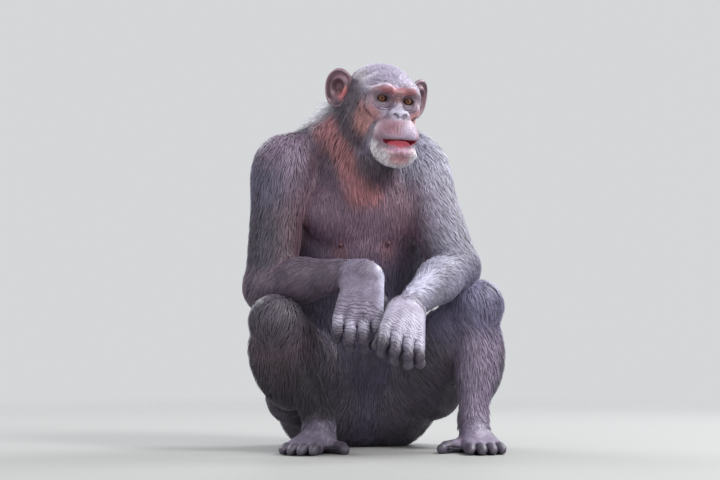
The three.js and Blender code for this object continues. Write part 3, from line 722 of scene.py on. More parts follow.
def makeSkin():
    parts = [part for name in regionNames for part in regions[name]["form"].parts]
    skin = hull("skin", parts)
    voxelRemesh(skin, skinBuild["voxel"])
    print("skin base", len(skin.data.polygons))
    subdivideWhere(skin, lambda p: isHeadPoint(p) | isHandOrFoot(p))
    subdivideWhere(skin, isFacePoint)
    subdivideWhere(skin, isLidOrLip)
    print("skin faces", len(skin.data.polygons))
    points = coordinates(skin)
    for turn in range(skinBuild["relax"] + skinBuild["settle"]):
        onHead = isHeadPoint(points)
        if turn < skinBuild["relax"]:
            points += 0.6 * (neighbourMean(skin, points) - points)
        for chosen, form in ((onHead, headSkinDistance), (~onHead, skinDistance)):
            p = points[chosen]
            d = form(p)
            move = np.clip(d, -skinBuild["mostMove"], skinBuild["mostMove"])
            points[chosen] = p - slopeOf(form, p) * move[:, None]
    onFace = isFacePoint(points)
    q = toHead(points[onFace])
    q[:, 1] += pushedIn(q)
    points[onFace] = toWorld(q)
    setCoordinates(skin, points)
    return skin


# fingers and toes, each a tube that grows out of the palm or the sole
def curvePoint(points, t):
    # a smooth curve through the points, t from 0 to 1, with its direction
    points = np.array(points)
    ends = np.vstack([2 * points[0] - points[1], points, 2 * points[-1] - points[-2]])
    at = min(t * (len(points) - 1), len(points) - 1 - 1e-6)
    k = int(at)
    u = at - k
    a, b, c, d = ends[k:k + 4]
    straight, bend, twist = c - a, 2 * a - 5 * b + 4 * c - d, 3 * b - a - 3 * c + d
    here = 0.5 * (2 * b + straight * u + bend * u ** 2 + twist * u ** 3)
    along = 0.5 * (straight + 2 * bend * u + 3 * twist * u ** 2)
    return here, unit(along)


castSteps = 14


def castOut(form, centres, rays, most):
    t = np.zeros(len(centres))
    for _ in range(castSteps):
        t = np.clip(t - form(centres + rays * t[:, None]), 0, most)
    return centres + rays * t[:, None]


def digitTube(points, radius, root, aside):
    # root is the form it grows out of, and aside points across the hand
    form = blended([digitForm(points, radius), root], 6)
    rings, sides = digits["rings"], digits["sides"]
    stations = [(k / (rings - 1), 0) for k in range(rings)] + [(1, a) for a in digits["tipLeans"]]
    centres, rays = [], []
    for t, lean in stations:
        centre, along = curvePoint(points, t)
        across = unit(aside - along * (aside @ along))
        third = np.cross(along, across)
        for k in range(sides):
            turn = 2 * math.pi * k / sides
            spoke = across * math.cos(turn) + third * math.sin(turn)
            centres.append(centre)
            rays.append(spoke * math.cos(math.radians(lean)) + along * math.sin(math.radians(lean)))
    centre, along = curvePoint(points, 1)
    tip = castOut(form, centre[None], along[None], 2 * radius)
    body = castOut(form, np.array(centres), np.array(rays), 1.25 * radius)
    vertices = np.vstack([points[0][None], body, tip])
    faces = []
    for k in range(sides):
        after = (k + 1) % sides
        faces.append((0, 1 + after, 1 + k))
        for r in range(len(stations) - 1):
            a, b = 1 + r * sides, 1 + (r + 1) * sides
            faces.append((a + k, a + after, b + after, b + k))
        last = 1 + (len(stations) - 1) * sides
        faces.append((last + k, last + after, len(vertices) - 1))
    return vertices, faces


def allDigits():
    made = []
    for name, limb in limbs.items():
        palm, sole = regions["hand" + name]["form"], regions["foot" + name]["form"]
        across = limb["knuckles"][3] - limb["knuckles"][0]
        for i in range(4):
            points = fingerPoints(limb, i)
            made.append((points, digits["fingerRadius"], palm, across))
            made.append((toePoints(limb, i), digits["toeRadius"], sole, up))
        made.append((limb["thumb"], digits["thumbRadius"], palm, across))
        made.append((bigToePoints(limb), digits["bigToeRadius"], sole, up))
    return made


nail = {
    "columns": 9,
    "rows": 6,
    "share": 0.92,
    "thick": 0.9,
    "reach": 62,
    "tip": 0.79,  # how thick the tip of a finger or small toe is beside its root
    "broadTip": 0.86,
}


def nailPlate(points, radius, dorsal):
    # a curved plate over the end of a digit, its rows along the digit and its columns round it
    tip, before = points[-1], points[-2]
    along = unit(tip - before)
    out = unit(dorsal - along * (dorsal @ along))
    across = np.cross(along, out)
    size = radius * nail["share"]
    columns, rows = nail["columns"], nail["rows"]
    vertices = []
    for lift in (0.5, 0.5 - nail["thick"] * 1.6):
        for r in range(rows):
            t = r / (rows - 1)
            narrow = math.sqrt(max(1 - (abs(t - 0.45) / 0.62) ** 4, 0))
            rise = size * 0.93 + lift - 0.16 * size * t ** 2
            for c in range(columns):
                turn = math.radians(nail["reach"]) * narrow * (2 * c / (columns - 1) - 1)
                spoke = out * math.cos(turn) + across * math.sin(turn)
                vertices.append(tip + along * size * (1.15 * t - 0.35) + spoke * rise)
    faces = []
    count = rows * columns
    for r in range(rows - 1):
        for c in range(columns - 1):
            a = r * columns + c
            quad = (a, a + 1, a + columns + 1, a + columns)
            faces.append(quad)
            faces.append(tuple(v + count for v in quad[::-1]))
    border = list(range(columns)) + [r * columns + columns - 1 for r in range(1, rows)]
    border += [(rows - 1) * columns + c for c in range(columns - 2, -1, -1)]
    border += [r * columns for r in range(rows - 2, 0, -1)]
    for a, b in zip(border, border[1:] + border[:1]):
        faces.append((b, a, a + count, b + count))
    return vertices, faces


def allNails():
    vertices, faces = [], []

    def add(points, radius, dorsal):
        made, sheet = nailPlate(points, radius, dorsal)
        start = len(vertices)
        vertices.extend(made)
        faces.extend(tuple(v + start for v in f) for f in sheet)
    for limb in limbs.values():
        for i in range(4):
            points = fingerPoints(limb, i)
            curl = unit(points[-1] - points[-2])
            add(points, digits["fingerRadius"] * nail["tip"], vec(0, curl[2], -curl[1]))
            add(toePoints(limb, i), digits["toeRadius"] * nail["tip"], up)
        add(limb["thumb"], digits["thumbRadius"] * nail["broadTip"], front)
        add(bigToePoints(limb), digits["bigToeRadius"] * nail["broadTip"], up)
    return np.array(vertices), faces


nipple = {"rows": {-1: (-60, 441), 1: (41, 445)}, "base": 6.0, "tip": 4.2, "long": 5}


def nippleAt(side):
    # where the skin of the chest is, and the way out of it
    across, height = nipple["rows"][side]
    start = trunkPoint(across, 60, height)
    ray = unit(trunkPoint(across + 6 * side, 220, height) - start)
    return castOut(skinDistance, start[None], ray[None], 160)[0], ray


def makeNipple(place, ray):
    balls = ((place, nipple["base"]), (place + nipple["long"] * ray, nipple["tip"]))
    return hull("nipple", [("oval", middle, np.full(3, radius), np.eye(3)) for middle, radius in balls])


def joinInto(base, others):
    deselect()
    for o in others:
        o.select_set(True)
    base.select_set(True)
    bpy.context.view_layer.objects.active = base
    bpy.ops.object.join()


# ears
ear = {
    "turn": math.radians(42),
    "height": 84,
    "width": 60,
    "root": vec(73, 9, 20),
    "rings": 22,
    "sides": 56,
    "rimTurn": [(1.03, -1.5), (1.02, -3.2), (0.97, -4.6)],  # share of the radius, and height
    "backLow": -4.5,
    "backHollow": 9,
}


def earSheet(side):
    # a closed shell: the front with its folds from the middle out, then the back from the rim in
    away = vec(math.cos(ear["turn"]) * side, math.sin(ear["turn"]), 0)
    opening = vec(math.sin(ear["turn"]) * side, -math.cos(ear["turn"]), 0)
    centre = ear["root"] * vec(side, 1, 1) + away * ear["width"] / 2
    shares = np.linspace(0, 1, ear["rings"]) ** 0.85
    turns = np.arange(ear["sides"]) * 2 * math.pi / ear["sides"]

    def bump(r, middle, width):
        return np.exp(-((r - middle) / width) ** 2)

    def place(r, turn, height):
        outward = np.cos(turn) * (1 + 0.1 * np.sin(turn)) * ear["width"] / 2
        rise = np.sin(turn) * ear["height"] / 2
        curl = -0.0035 * (outward * r) ** 2
        return centre + away * (outward * r) + up * (rise * r) + opening * (height + curl)

    def frontHeight(r, turn):
        inner = 0.5 - 0.5 * np.cos(turn)  # 1 towards the head
        lobe = smoothStep(-0.6, -0.95, np.sin(turn))
        hollow = -9 * (1 - smoothStep(0.22, 0.5, r)) * (1 - 0.4 * lobe)
        fold = 3.4 * bump(r, 0.58, 0.085) * (1 - inner) * (1 - lobe)
        upperFold = 2.6 * bump(r, 0.5, 0.1) * smoothStep(0.2, 0.8, np.sin(turn))
        rim = 5.5 * bump(r, 0.93, 0.075) * (1 - inner) ** 0.6 * (1 - 0.5 * lobe)
        groove = -1.6 * bump(r, 0.78, 0.08) * (1 - lobe)
        flap = 6 * bump(r, 0.55, 0.13) * bump(turn, math.pi * 1.06, 0.4)
        sunk = -10 * inner ** 3 * r ** 2
        return hollow + fold + upperFold + rim + groove + flap + sunk

    def backHeight(r):
        return ear["backLow"] - ear["backHollow"] * (1 - smoothStep(0.3, 0.85, r))

    rows = []
    shade = [(0, 1)]  # how much each point is of the rim, and of the hollow: where the painted highlight on the rim and the painted shade in the hollow go
    for r in shares[1:]:
        rows.append([place(r, t, frontHeight(r, t)) for t in turns])
        hollow = 1 - smoothStep(0.2, 0.62, r)
        shade += [(bump(r, 0.95, 0.06) * (0.5 + 0.5 * math.cos(t)) ** 0.5, hollow) for t in turns]
    for r, lower in ear["rimTurn"]:
        rows.append([place(r, t, frontHeight(1.0, t) + lower) for t in turns])
    for r in shares[-3:0:-3]:
        rows.append([place(r, t, backHeight(r)) for t in turns])
    vertices = [place(0, 0, frontHeight(0, 0))] + [v for row in rows for v in row]
    vertices.append(place(0, 0, backHeight(0)))
    shade += [(0, 0)] * (len(vertices) - len(shade))
    sides = ear["sides"]
    faces = []
    for k in range(sides):
        after = (k + 1) % sides
        faces.append((0, 1 + k, 1 + after))
        for r in range(len(rows) - 1):
            a, b = 1 + r * sides, 1 + (r + 1) * sides
            faces.append((a + k, b + k, b + after, a + after))
        last = 1 + (len(rows) - 1) * sides
        faces.append((last + after, last + k, len(vertices) - 1))
    if side > 0:
        faces = [f[::-1] for f in faces]
    return toWorld(np.array(vertices)), faces, np.array(shade, float)


# eyes
def makeEye(name, side):
    bpy.ops.mesh.primitive_uv_sphere_add(segments=40, ring_count=24, radius=1)
    made = bpy.context.object
    made.name = name
    points = coordinates(made) @ turnAbout([1, 0, 0], math.radians(90)).T
    forward = -points[:, 1]
    cornea = smoothStep(0.84, 1.0, forward)
    points *= (face["eyeRadius"] * (1 + 0.06 * cornea))[:, None]
    setValue(made, "gaze", np.arccos(np.clip(forward, -1, 1)))
    points = points @ turnAbout(up, face["gazeTurn"]).T
    setCoordinates(made, toWorld(points + eyeAt(side)) * mm)
    deselect()
    return made


def finish(o):
    for polygon in o.data.polygons:
        polygon.use_smooth = True
    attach(o, "root")


skin = makeSkin()
tubes = [meshObject("digit%d" % i, *digitTube(*spec)) for i, spec in enumerate(allDigits())]
nipples = [nippleAt(side) for side in (-1, 1)]
joinInto(skin, tubes + [makeNipple(*spec) for spec in nipples])
points = coordinates(skin)
points[:, 2] = np.maximum(points[:, 2], 0)
setCoordinates(skin, points * mm)
finish(skin)
nails = meshObject("nails", *allNails())
setCoordinates(nails, coordinates(nails) * mm)
finish(nails)
flesh = [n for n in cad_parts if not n.startswith(("eye", "ear")) and n != "tongue"]
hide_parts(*flesh)
skin.data.calc_loop_triangles()
print("skin", len(skin.data.loop_triangles), "triangles")

ears, earShades, eyes = [], [], []
for name, limb in limbs.items():
    vertices, faces, shade = earSheet(limb["sign"])
    earShades.append(shade)
    ears.append(meshObject("ear" + name, vertices * mm, faces))
    finish(ears[-1])
    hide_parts("ear_" + name.lower())
for name, limb in limbs.items():
    eyes.append(makeEye("eye" + name, limb["sign"]))
    finish(eyes[-1])
    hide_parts("eye_" + name.lower())
print("ears and eyes")


# markings and painted light and shade, the same for skin and coat
markingsAndPaintedLight = {
    "coat": (0.064, 0.052, 0.076),
    "belly": (0.070, 0.056, 0.102),
    "chest": (0.155, 0.086, 0.130),
    "strip": (0.430, 0.170, 0.185),
    "ruddy": (0.150, 0.070, 0.085),
    # the pale head coat: a painted highlight of the light from above
    "crown": (0.300, 0.262, 0.355),
    "temple": (0.122, 0.093, 0.120),
    "whisker": (0.110, 0.076, 0.096),
    # painted highlight of the light from behind, on the back of the neck
    "nape": (0.420, 0.400, 0.470),
    # painted highlight of the light falling on the left arm and on the edge of the right hand
    "paintedHighlight": (0.460, 0.450, 0.585),
    "forearm": (0.118, 0.086, 0.122),
    "thigh": (0.072, 0.057, 0.079),
    "neckDark": (0.060, 0.040, 0.054),
    "cheek": (0.540, 0.250, 0.240),
    "beard": (0.860, 0.810, 0.860),
    "hand": (0.190, 0.158, 0.225),
    # painted highlight on the knuckles, and over the back of the left hand
    "knuckle": (0.320, 0.298, 0.385),
    "brow": (0.215, 0.142, 0.178),
    # painted highlight along the top of the brow ridge
    "browHighlight": (0.420, 0.345, 0.430),
    "ruddyBrow": (0.225, 0.076, 0.088),
    "bridge": (0.085, 0.030, 0.034),
    "eyeRing": (0.050, 0.028, 0.036),
    "eyeBag": (0.085, 0.056, 0.088),
    "nose": (0.235, 0.215, 0.285),
    # painted shade inside the nostrils and under the lower lip
    "hollowShade": (0.035, 0.02, 0.024),
    "lip": (0.175, 0.084, 0.113),
    "chin": (0.420, 0.185, 0.215),
    "mouthShade": (0.300, 0.040, 0.055),
    # painted highlight on the far side and the edge of the upper lip
    "lipHighlight": (0.225, 0.190, 0.270),
    "mouth": (0.400, 0.055, 0.085),
    "lowerLip": (0.210, 0.110, 0.175),
    "ear": (0.110, 0.058, 0.077),
    "earInner": (0.460, 0.150, 0.155),
    # painted shade in the ear's hollow, and a painted highlight on its rim
    "earHollow": (0.080, 0.030, 0.042),
    "earRim": (0.270, 0.190, 0.240),
    "nipple": (0.095, 0.042, 0.052),
    # painted sheen, a pale highlight on the right shoulder and the left knee
    "paintedSheen": (0.180, 0.162, 0.270),
    "shade": (0.026, 0.020, 0.028),
    # painted highlight on the front of the left shin
    "shin": (0.250, 0.200, 0.290),
    # painted shadow line where each finger leaves the back of the hand
    "handFold": (0.085, 0.062, 0.095),
    "nail": (0.060, 0.050, 0.058),
}


def near(p, centre, radii, soft=0.5):
    # 1 inside an oval, falling to 0 outside it
    d = np.linalg.norm((p - centre) / np.array(radii, float), axis=1)
    return smoothStep(1 + soft, 1 - soft, d)


def mixed(a, b, share):
    return a + (b - a) * share[:, None]


def paint(tone, colour, share):
    return mixed(tone, np.array(markingsAndPaintedLight[colour]), share)


def alongLine(p, a, b):
    return (p - a) @ (b - a) / float((b - a) @ (b - a))


def offBone(p, a, b):
    # from the nearest point of a bone's line to each point
    return p - a - np.clip(alongLine(p, a, b), 0, 1)[:, None] * (b - a)


def spot(tone, colour, share, p, middle, radii, soft=0.5):
    return paint(tone, colour, share * near(p, middle, radii, soft))


def trunkTone(tone, p, each):
    local = p @ turned  # x to the animal's left and -y to its front
    frontness = smoothStep(-30, -90, local[:, 1])
    tone = paint(tone, "belly", 0.8 * frontness * smoothStep(20, 0, to("trunk", each)))
    tone = spot(tone, "chest", 0.85 * frontness, p, trunkPoint(0, 120, 520), (150, 120, 110), 0.45)
    for place, _ in nipples:
        tone = spot(tone, "ruddy", 0.7, p, place + vec(0, 0, -8), (17, 20, 22))
        tone = spot(tone, "nipple", 1, p, place, (9, 12, 9), 0.3)
    return tone


def armTone(tone, p, each):
    # the left arm gets a painted highlight where it faces the light, and the right one is ruddy inside
    left, right = limbs["Left"], limbs["Right"]
    # painted highlight on the left shoulder and the outer upper arm, where they face the light
    off = offBone(p, left["shoulder"], left["elbow"])
    lit = smoothStep(32, -14, off[:, 1]) * (1 - 0.4 * smoothStep(6, 40, off[:, 0]))
    tone = spot(tone, "paintedHighlight", 0.34 * lit, p, left["shoulder"] + vec(14, -10, 40), (90, 90, 70))
    outer = smoothStep(30, 2, np.minimum(to("upperArmLeft", each), to("forearmLeft", each)))
    outer *= smoothStep(-60, 10, p[:, 0] - left["shoulder"][0] - 0.35 * (left["shoulder"][2] - p[:, 2]))
    tone = paint(tone, "paintedHighlight", 0.42 * lit * outer)
    # painted highlight along the left forearm, less on its outer side and near the elbow
    lit = 1 - 0.62 * smoothStep(0, 26, offBone(p, left["elbow"], left["wrist"])[:, 0])
    lit *= smoothStep(0.1, 0.7, alongLine(p, left["elbow"], left["wrist"]))
    tone = paint(tone, "paintedHighlight", lit * smoothStep(24, 2, to("forearmLeft", each)))
    tone = paint(tone, "forearm", 0.9 * smoothStep(24, 2, to("forearmRight", each)))
    inner = smoothStep(24, 2, to("upperArmRight", each)) * smoothStep(-190, -120, p[:, 0])
    tone = paint(tone, "ruddy", 0.55 * inner * smoothStep(330, 420, p[:, 2]))
    # painted sheen on the right shoulder
    tone = spot(tone, "paintedSheen", 0.35, p, right["shoulder"] + vec(-20, -30, 20), (80, 90, 90))
    tone = spot(tone, "paintedSheen", 0.9, p, right["shoulder"] + vec(20, -50, 50), (46, 60, 34))
    return spot(tone, "ruddy", 0.35, p, left["shoulder"] + vec(-30, -60, -70), (60, 70, 70))


def legTone(tone, p, each, name):
    limb = limbs[name]
    tone = paint(tone, "thigh", 0.8 * smoothStep(20, 2, to("thigh" + name, each)))
    tone = spot(tone, "ruddy", 0.4, p, limb["knee"] + vec(-10 * limb["sign"], 30, -60), (60, 70, 80), 0.6)
    onShin = smoothStep(16, 2, to("shin" + name, each))
    if name == "Right":
        return paint(tone, "shade", 0.8 * onShin * smoothStep(250, 180, p[:, 2]))
    # painted sheen on the left knee and the top of the thigh
    tone = spot(tone, "paintedSheen", 0.8, p, limb["knee"] + vec(-30, 10, 10), (110, 110, 80))
    # painted highlight on the front of the left shin
    lit = smoothStep(14, -22, offBone(p, limb["knee"], limb["ankle"])[:, 1])
    return paint(tone, "shin", 0.9 * lit * onShin * smoothStep(300, 230, p[:, 2]))


def handTone(tone, p, each, name):
    # hand and foot, with a painted highlight on the knuckles and a painted shadow line before each
    limb = limbs[name]
    onHand = smoothStep(12, 2, to("hand" + name, each))
    tone = paint(tone, "hand", onHand)
    if name == "Left":
        # painted highlight all over the left hand
        tone = paint(tone, "knuckle", 0.55 * onHand)
    else:
        # painted highlight along the edge of the right hand, from the wrist to the first knuckle
        edge = cone(limb["wrist"] + vec(36, -6, 4), limb["knuckles"][0] + vec(14, 4, 10), 5)
        tone = paint(tone, "paintedHighlight", 0.85 * smoothStep(22, -2, edge(p)))
    tone = paint(tone, "hand", smoothStep(12, 2, to("foot" + name, each)) * smoothStep(90, 60, p[:, 2]))
    for i, knuckle in enumerate(limb["knuckles"]):
        along = fingerPoints(limb, i)[1] - knuckle
        # painted highlight on each knuckle
        tone = spot(tone, "knuckle", 0.9, p, knuckle + 0.45 * along, (15, 15, 20), 0.4)
        # painted shadow line at the root of each finger
        tone = spot(tone, "handFold", 0.6, p, knuckle + 0.04 * along, (13, 14, 3.2), 0.6)
    return tone


def neckTone(tone, p, each):
    # the ruddy strip that runs from the ear down to the chest, and the pale back of the neck, a painted
    # highlight of the light from behind
    head = to("head", each)
    # the head's coat takes the crown colour, a painted highlight of the light from above
    tone = paint(tone, "crown", smoothStep(14, -4, head))
    offStrip = np.linalg.norm(offBone(p, trunkPoint(-58, 96, 700), trunkPoint(-12, 150, 570)), axis=1)
    wander = 8 * np.sin(p[:, 2] / 23) + 5 * np.sin(p[:, 0] / 11)
    tone = paint(tone, "strip", 0.85 * smoothStep(50, 14, offStrip + wander) * smoothStep(-10, 14, head))
    tone = spot(tone, "ruddy", 0.5, p, limbs["Right"]["shoulder"] + vec(40, -40, 48), (90, 70, 40), 0.6)
    tone = spot(tone, "neckDark", 0.8, p, headPlace["centre"] + vec(10, -60, -130), (62, 60, 44))
    # painted highlight of the light from behind, on the back of the neck
    behind = smoothStep(0, 40, p[:, 1] + 110)
    return spot(tone, "nape", behind, p, headPlace["centre"] + vec(-70, 60, -60), (70, 80, 90), 0.4)


def bodyTone(p, each):
    tone = np.tile(np.array(markingsAndPaintedLight["coat"]), (len(p), 1))
    tone = armTone(trunkTone(tone, p, each), p, each)
    for name in limbs:
        tone = handTone(legTone(tone, p, each, name), p, each, name)
    return neckTone(tone, p, each)


def beardShare(q):
    # where the short pale beard grows: a band along the edge of the muzzle, broad under the mouth
    edge = muzzleMask(q)
    low = smoothStep(-70, -84, q[:, 2])
    inner = smoothStep(-5 - 11 * low, -1 - 6 * low, edge)
    middle = 1 - 0.85 * near(q, vec(10, -130, -104), (21, 30, 13), 0.5)
    wave = 2 * np.sin(q[:, 2] / 6)
    clumps = 0.68 + 0.32 * np.sin(q[:, 0] / 2.7 + wave) * np.sin(q[:, 2] / 3.1 + q[:, 1] / 4)
    high = 0.25 + 0.75 * smoothStep(-62, -80, q[:, 2])
    band = inner * smoothStep(7, 2, edge) * smoothStep(-44, -58, q[:, 2]) * smoothStep(-70, -84, q[:, 1])
    return band * middle * clumps * high


browLine = blended([
    cone(vec(7, -96, 35), vec(27, -99, 46), 1),
    cone(vec(27, -99, 46), vec(54, -76, 36), 1),
], 2)


# Spots on the head: colour, share, middle, radii and softness, in the head's own frame.
# Those before "lips" lie on both sides.
headSpots = {
    "besideFace": [
        ("temple", 1, (70, -20, 6), (24, 50, 40), 0.5),
        ("temple", 0.7, (62, -2, 50), (26, 46, 30), 0.5),
        ("whisker", 1, (62, -34, -52), (30, 50, 46), 0.4),
        ("cheek", 0.85, (57, -64, -24), (22, 28, 32), 0.5),
    ],
    "besideEyes": [
        ("cheek", 0.6, (52, -70, -18), (20, 30, 26), 0.5),
        ("temple", 0.75, (60, -66, 12), (15, 30, 22), 0.5),
    ],
    "eyes": [
        ("ruddyBrow", 0.9, (18, -96, 33), (26, 18, 9), 0.45),
        ("bridge", 0.85, (0, -98, 20), (10, 16, 15), 0.5),
        ("eyeBag", 0.9, (31, -86, 0), (24, 26, 13), 0.35),
        ("eyeRing", 1, (30, -86, 14), (18, 20, 10.5), 0.35),
        ("nose", 0.9, (2, -116, -12), (20, 22, 20), 0.4),
        ("nose", 0.6, (24, -100, -14), (14, 18, 10), 0.5),
    ],
    "lips": [
        ("lip", 1, (5, -124, -48), (46, 36, 18), 0.35),
        # painted highlight on the far side of the upper lip
        ("lipHighlight", 0.75, (22, -132, -50), (22, 26, 18), 0.5),
        ("chin", 1, (9, -120, -106), (42, 42, 20), 0.3),
    ],
    "lipEdges": [
        # painted highlight along the edge of the upper lip
        ("lipHighlight", 0.4, (8, -142, -62), (36, 14, 5), 0.4),
        ("lowerLip", 0.9, (8, -138, -91), (36, 18, 5), 0.3),
        # painted shadow line under the lower lip
        ("hollowShade", 0.45, (9, -138, -99), (20, 18, 3), 0.5),
    ],
}


def bothSides(q):
    return np.stack([np.abs(q[:, 0]), q[:, 1], q[:, 2]], axis=1)


def headTone(q, tone):
    mirrored = bothSides(q)
    bare = bareFace(q)

    def spots(tone, name, p, where=1):
        for colour, share, middle, radii, soft in headSpots[name]:
            tone = spot(tone, colour, share * where, p, vec(*middle), radii, soft)
        return tone

    tone = spots(tone, "besideFace", mirrored)
    tone = paint(tone, "brow", bare)
    tone = spots(tone, "besideEyes", mirrored, bare)
    # painted highlight along the top of the brow ridge
    alongBrow = smoothStep(3, 0, browLine(mirrored)) * smoothStep(60, 48, mirrored[:, 0])
    tone = paint(tone, "browHighlight", 0.65 * alongBrow)
    tone = spots(tone, "eyes", mirrored)
    tone = spots(tone, "lips", q)
    tone = paint(tone, "beard", 0.6 * beardShare(q))
    # painted shade inside the nostrils
    inNostril = smoothStep(1.5, -1.5, np.minimum(nostrils[0](q), nostrils[1](q)))
    tone = paint(tone, "hollowShade", 0.9 * inNostril)
    tone = spots(tone, "lipEdges", q)
    inside = smoothStep(-0.6, 0.9, mouthInset(q)) * smoothStep(-84, -92, q[:, 1])
    tone = paint(tone, "mouth", inside)
    roof = smoothStep(-74, -68.5, q[:, 2] + 0.1 * np.abs(q[:, 0] - face["jawAside"]))
    return paint(tone, "mouthShade", 0.75 * inside * roof)


def toneOf(p, each):
    tone = bodyTone(p, each)
    return mixed(tone, headTone(toHead(p), tone), smoothStep(14, 0, to("head", each)))


foldStep = {"hand": 7.5, "foot": 9.0, "slant": 0.45}


def foldsAt(p, each):
    # the phase of the folds across each hand and foot, and how deep they are
    phase, depth = np.zeros(len(p)), np.zeros(len(p))
    for name, limb in limbs.items():
        middle = regions["hand" + name]["line"][1]
        ahead = unit(middle - limb["wrist"])
        way, strong = ahead, 1.0
        past = (p - limb["wrist"]) @ ahead
        if name == "Left":
            way = unit(ahead - foldStep["slant"] * unit(limb["knuckles"][3] - limb["knuckles"][0]))
        else:
            strong = 0.35 + 0.65 * smoothStep(50, 80, past)
        onHand = smoothStep(-20, 4, past) * smoothStep(90, 40, np.linalg.norm(p - middle, axis=1))
        phase = np.where(onHand > 0, (p @ way) * 2 * math.pi / foldStep["hand"], phase)
        onFoot = smoothStep(14, 4, to("foot" + name, each)) * smoothStep(66, 44, p[:, 2])
        phase = np.where(onFoot > 0, p[:, 1] * 2 * math.pi / foldStep["foot"], phase)
        depth = np.maximum(depth, np.maximum(onHand * strong, 0.5 * onFoot))
    return phase, depth


def setFolds(o, phase, depth):
    setValue(o, "foldPhase", phase)
    setValue(o, "foldDepth", depth)


# materials
def newMaterial(name, roughness, specular=0.5):
    material = bpy.data.materials.new(name)
    material.use_nodes = True
    shader = material.node_tree.nodes["Principled BSDF"]
    shader.inputs["Roughness"].default_value = roughness
    shader.inputs["Specular IOR Level"].default_value = specular
    return material, material.node_tree, shader


def addNode(tree, kind, inputs, **settings):
    # a node with its settings, and its inputs set to numbers or joined to other nodes' outputs
    node = tree.nodes.new("ShaderNode" + kind)
    for name, value in settings.items():
        setattr(node, name, value)
    for name, value in inputs.items():
        if isinstance(value, bpy.types.NodeSocket):
            tree.links.new(value, node.inputs[name])
        else:
            node.inputs[name].default_value = value
    return node


def maths(tree, operation, *values):
    return addNode(tree, "Math", dict(enumerate(values)), operation=operation).outputs["Value"]


def scaledColour(tree, colour, factor):
    return addNode(tree, "VectorMath", {0: colour, "Scale": factor}, operation="SCALE").outputs["Vector"]


def objectPlace(tree):
    return addNode(tree, "TexCoord", {}).outputs["Object"]


def attribute(tree, name, output="Fac"):
    return addNode(tree, "Attribute", {}, attribute_name=name).outputs[output]


def newGroup(name, given, result):
    # a node group, with the sockets that it is given and the one that it gives back
    group = bpy.data.node_groups.new(name, "ShaderNodeTree")
    for socket, kind in given:
        group.interface.new_socket(socket, in_out="INPUT", socket_type="NodeSocket" + kind)
    group.interface.new_socket(result[0], in_out="OUTPUT", socket_type="NodeSocket" + result[1])
    return group, group.nodes.new("NodeGroupInput").outputs, group.nodes.new("NodeGroupOutput").inputs


def mottleGroup():
    # uneven colour in patches and fine grain
    sockets = [("Colour", "Color"), ("Patch Size", "Float"), ("Strength", "Float")]
    group, given, out = newGroup("mottle", sockets, ("Colour", "Color"))
    patches = addNode(group, "TexNoise", {
        "Vector": objectPlace(group), "Scale": given["Patch Size"], "Detail": 6, "Roughness": 0.62,
    })
    spread = addNode(group, "MapRange", {
        "Value": patches.outputs["Fac"], "From Min": 0.3, "From Max": 0.7, "To Min": -1,
    })
    amount = maths(group, "MULTIPLY_ADD", spread.outputs["Result"], given["Strength"], 1)
    group.links.new(scaledColour(group, given["Colour"], amount), out["Colour"])
    return group


foldLook = {"wanderSize": 42, "wander": 22, "thin": 3.5}


def foldGroup():
    # wandering lines across the hands and feet, 1 in the middle of a line and 0 between lines
    group, given, out = newGroup("folds", [("Phase", "Float"), ("Depth", "Float")], ("Line", "Float"))
    wander = addNode(group, "TexNoise", {
        "Vector": objectPlace(group), "Scale": foldLook["wanderSize"], "Detail": 3,
    })
    phase = maths(group, "MULTIPLY_ADD", wander.outputs["Fac"], foldLook["wander"], given["Phase"])
    wave = maths(group, "MULTIPLY_ADD", maths(group, "SINE", phase), 0.5, 0.5)
    line = maths(group, "POWER", wave, foldLook["thin"])
    group.links.new(maths(group, "MULTIPLY", line, given["Depth"]), out["Line"])
    return group


mottle = mottleGroup()
folds = foldGroup()


def mottled(tree, colour, size, strength):
    given = {"Colour": colour, "Patch Size": size, "Strength": strength}
    return addNode(tree, "Group", given, node_tree=mottle).outputs["Colour"]


skinLook = {
    "roughness": 0.5,
    "patches": (55, 0.28),  # size and strength
    "grain": (320, 0.22),
    "foldShade": 0.6,
    "creaseSize": 260,
    "poreSize": 140,
    "wrinkleDepth": 0.0012,
}


def skinMaterial():
    # bare skin: mottled colour, fine creases and pores, and the folds of hands and feet, with painted shade
    # along the folds
    material, tree, shader = newMaterial("bareSkin", skinLook["roughness"])
    colour = attribute(tree, "tone", "Color")
    for look in ("patches", "grain"):
        colour = mottled(tree, colour, *skinLook[look])
    given = {"Phase": attribute(tree, "foldPhase"), "Depth": attribute(tree, "foldDepth")}
    line = addNode(tree, "Group", given, node_tree=folds).outputs["Line"]
    # painted shade: the colour is darker along each fold line and a little lighter between them
    darker = maths(tree, "MULTIPLY_ADD", line, -skinLook["foldShade"], 1.14)
    tree.links.new(scaledColour(tree, colour, darker), shader.inputs["Base Color"])
    place = objectPlace(tree)
    cells = {"Vector": place, "Scale": skinLook["creaseSize"]}
    fineCreases = addNode(tree, "TexVoronoi", cells, feature="DISTANCE_TO_EDGE")
    pores = addNode(tree, "TexNoise", {"Vector": place, "Scale": skinLook["poreSize"], "Detail": 5})
    relief = maths(tree, "MULTIPLY_ADD", fineCreases.outputs["Distance"], 0.6, pores.outputs["Fac"])
    relief = maths(tree, "MULTIPLY_ADD", line, -1.1, relief)
    bump = addNode(tree, "Bump", {"Height": relief, "Distance": skinLook["wrinkleDepth"], "Strength": 0.7})
    tree.links.new(bump.outputs["Normal"], shader.inputs["Normal"])
    return material


coatLook = {"fromRoot": (0.6, 1.3), "fromTuft": (0.72, 1.32), "patches": (38, 0.22)}


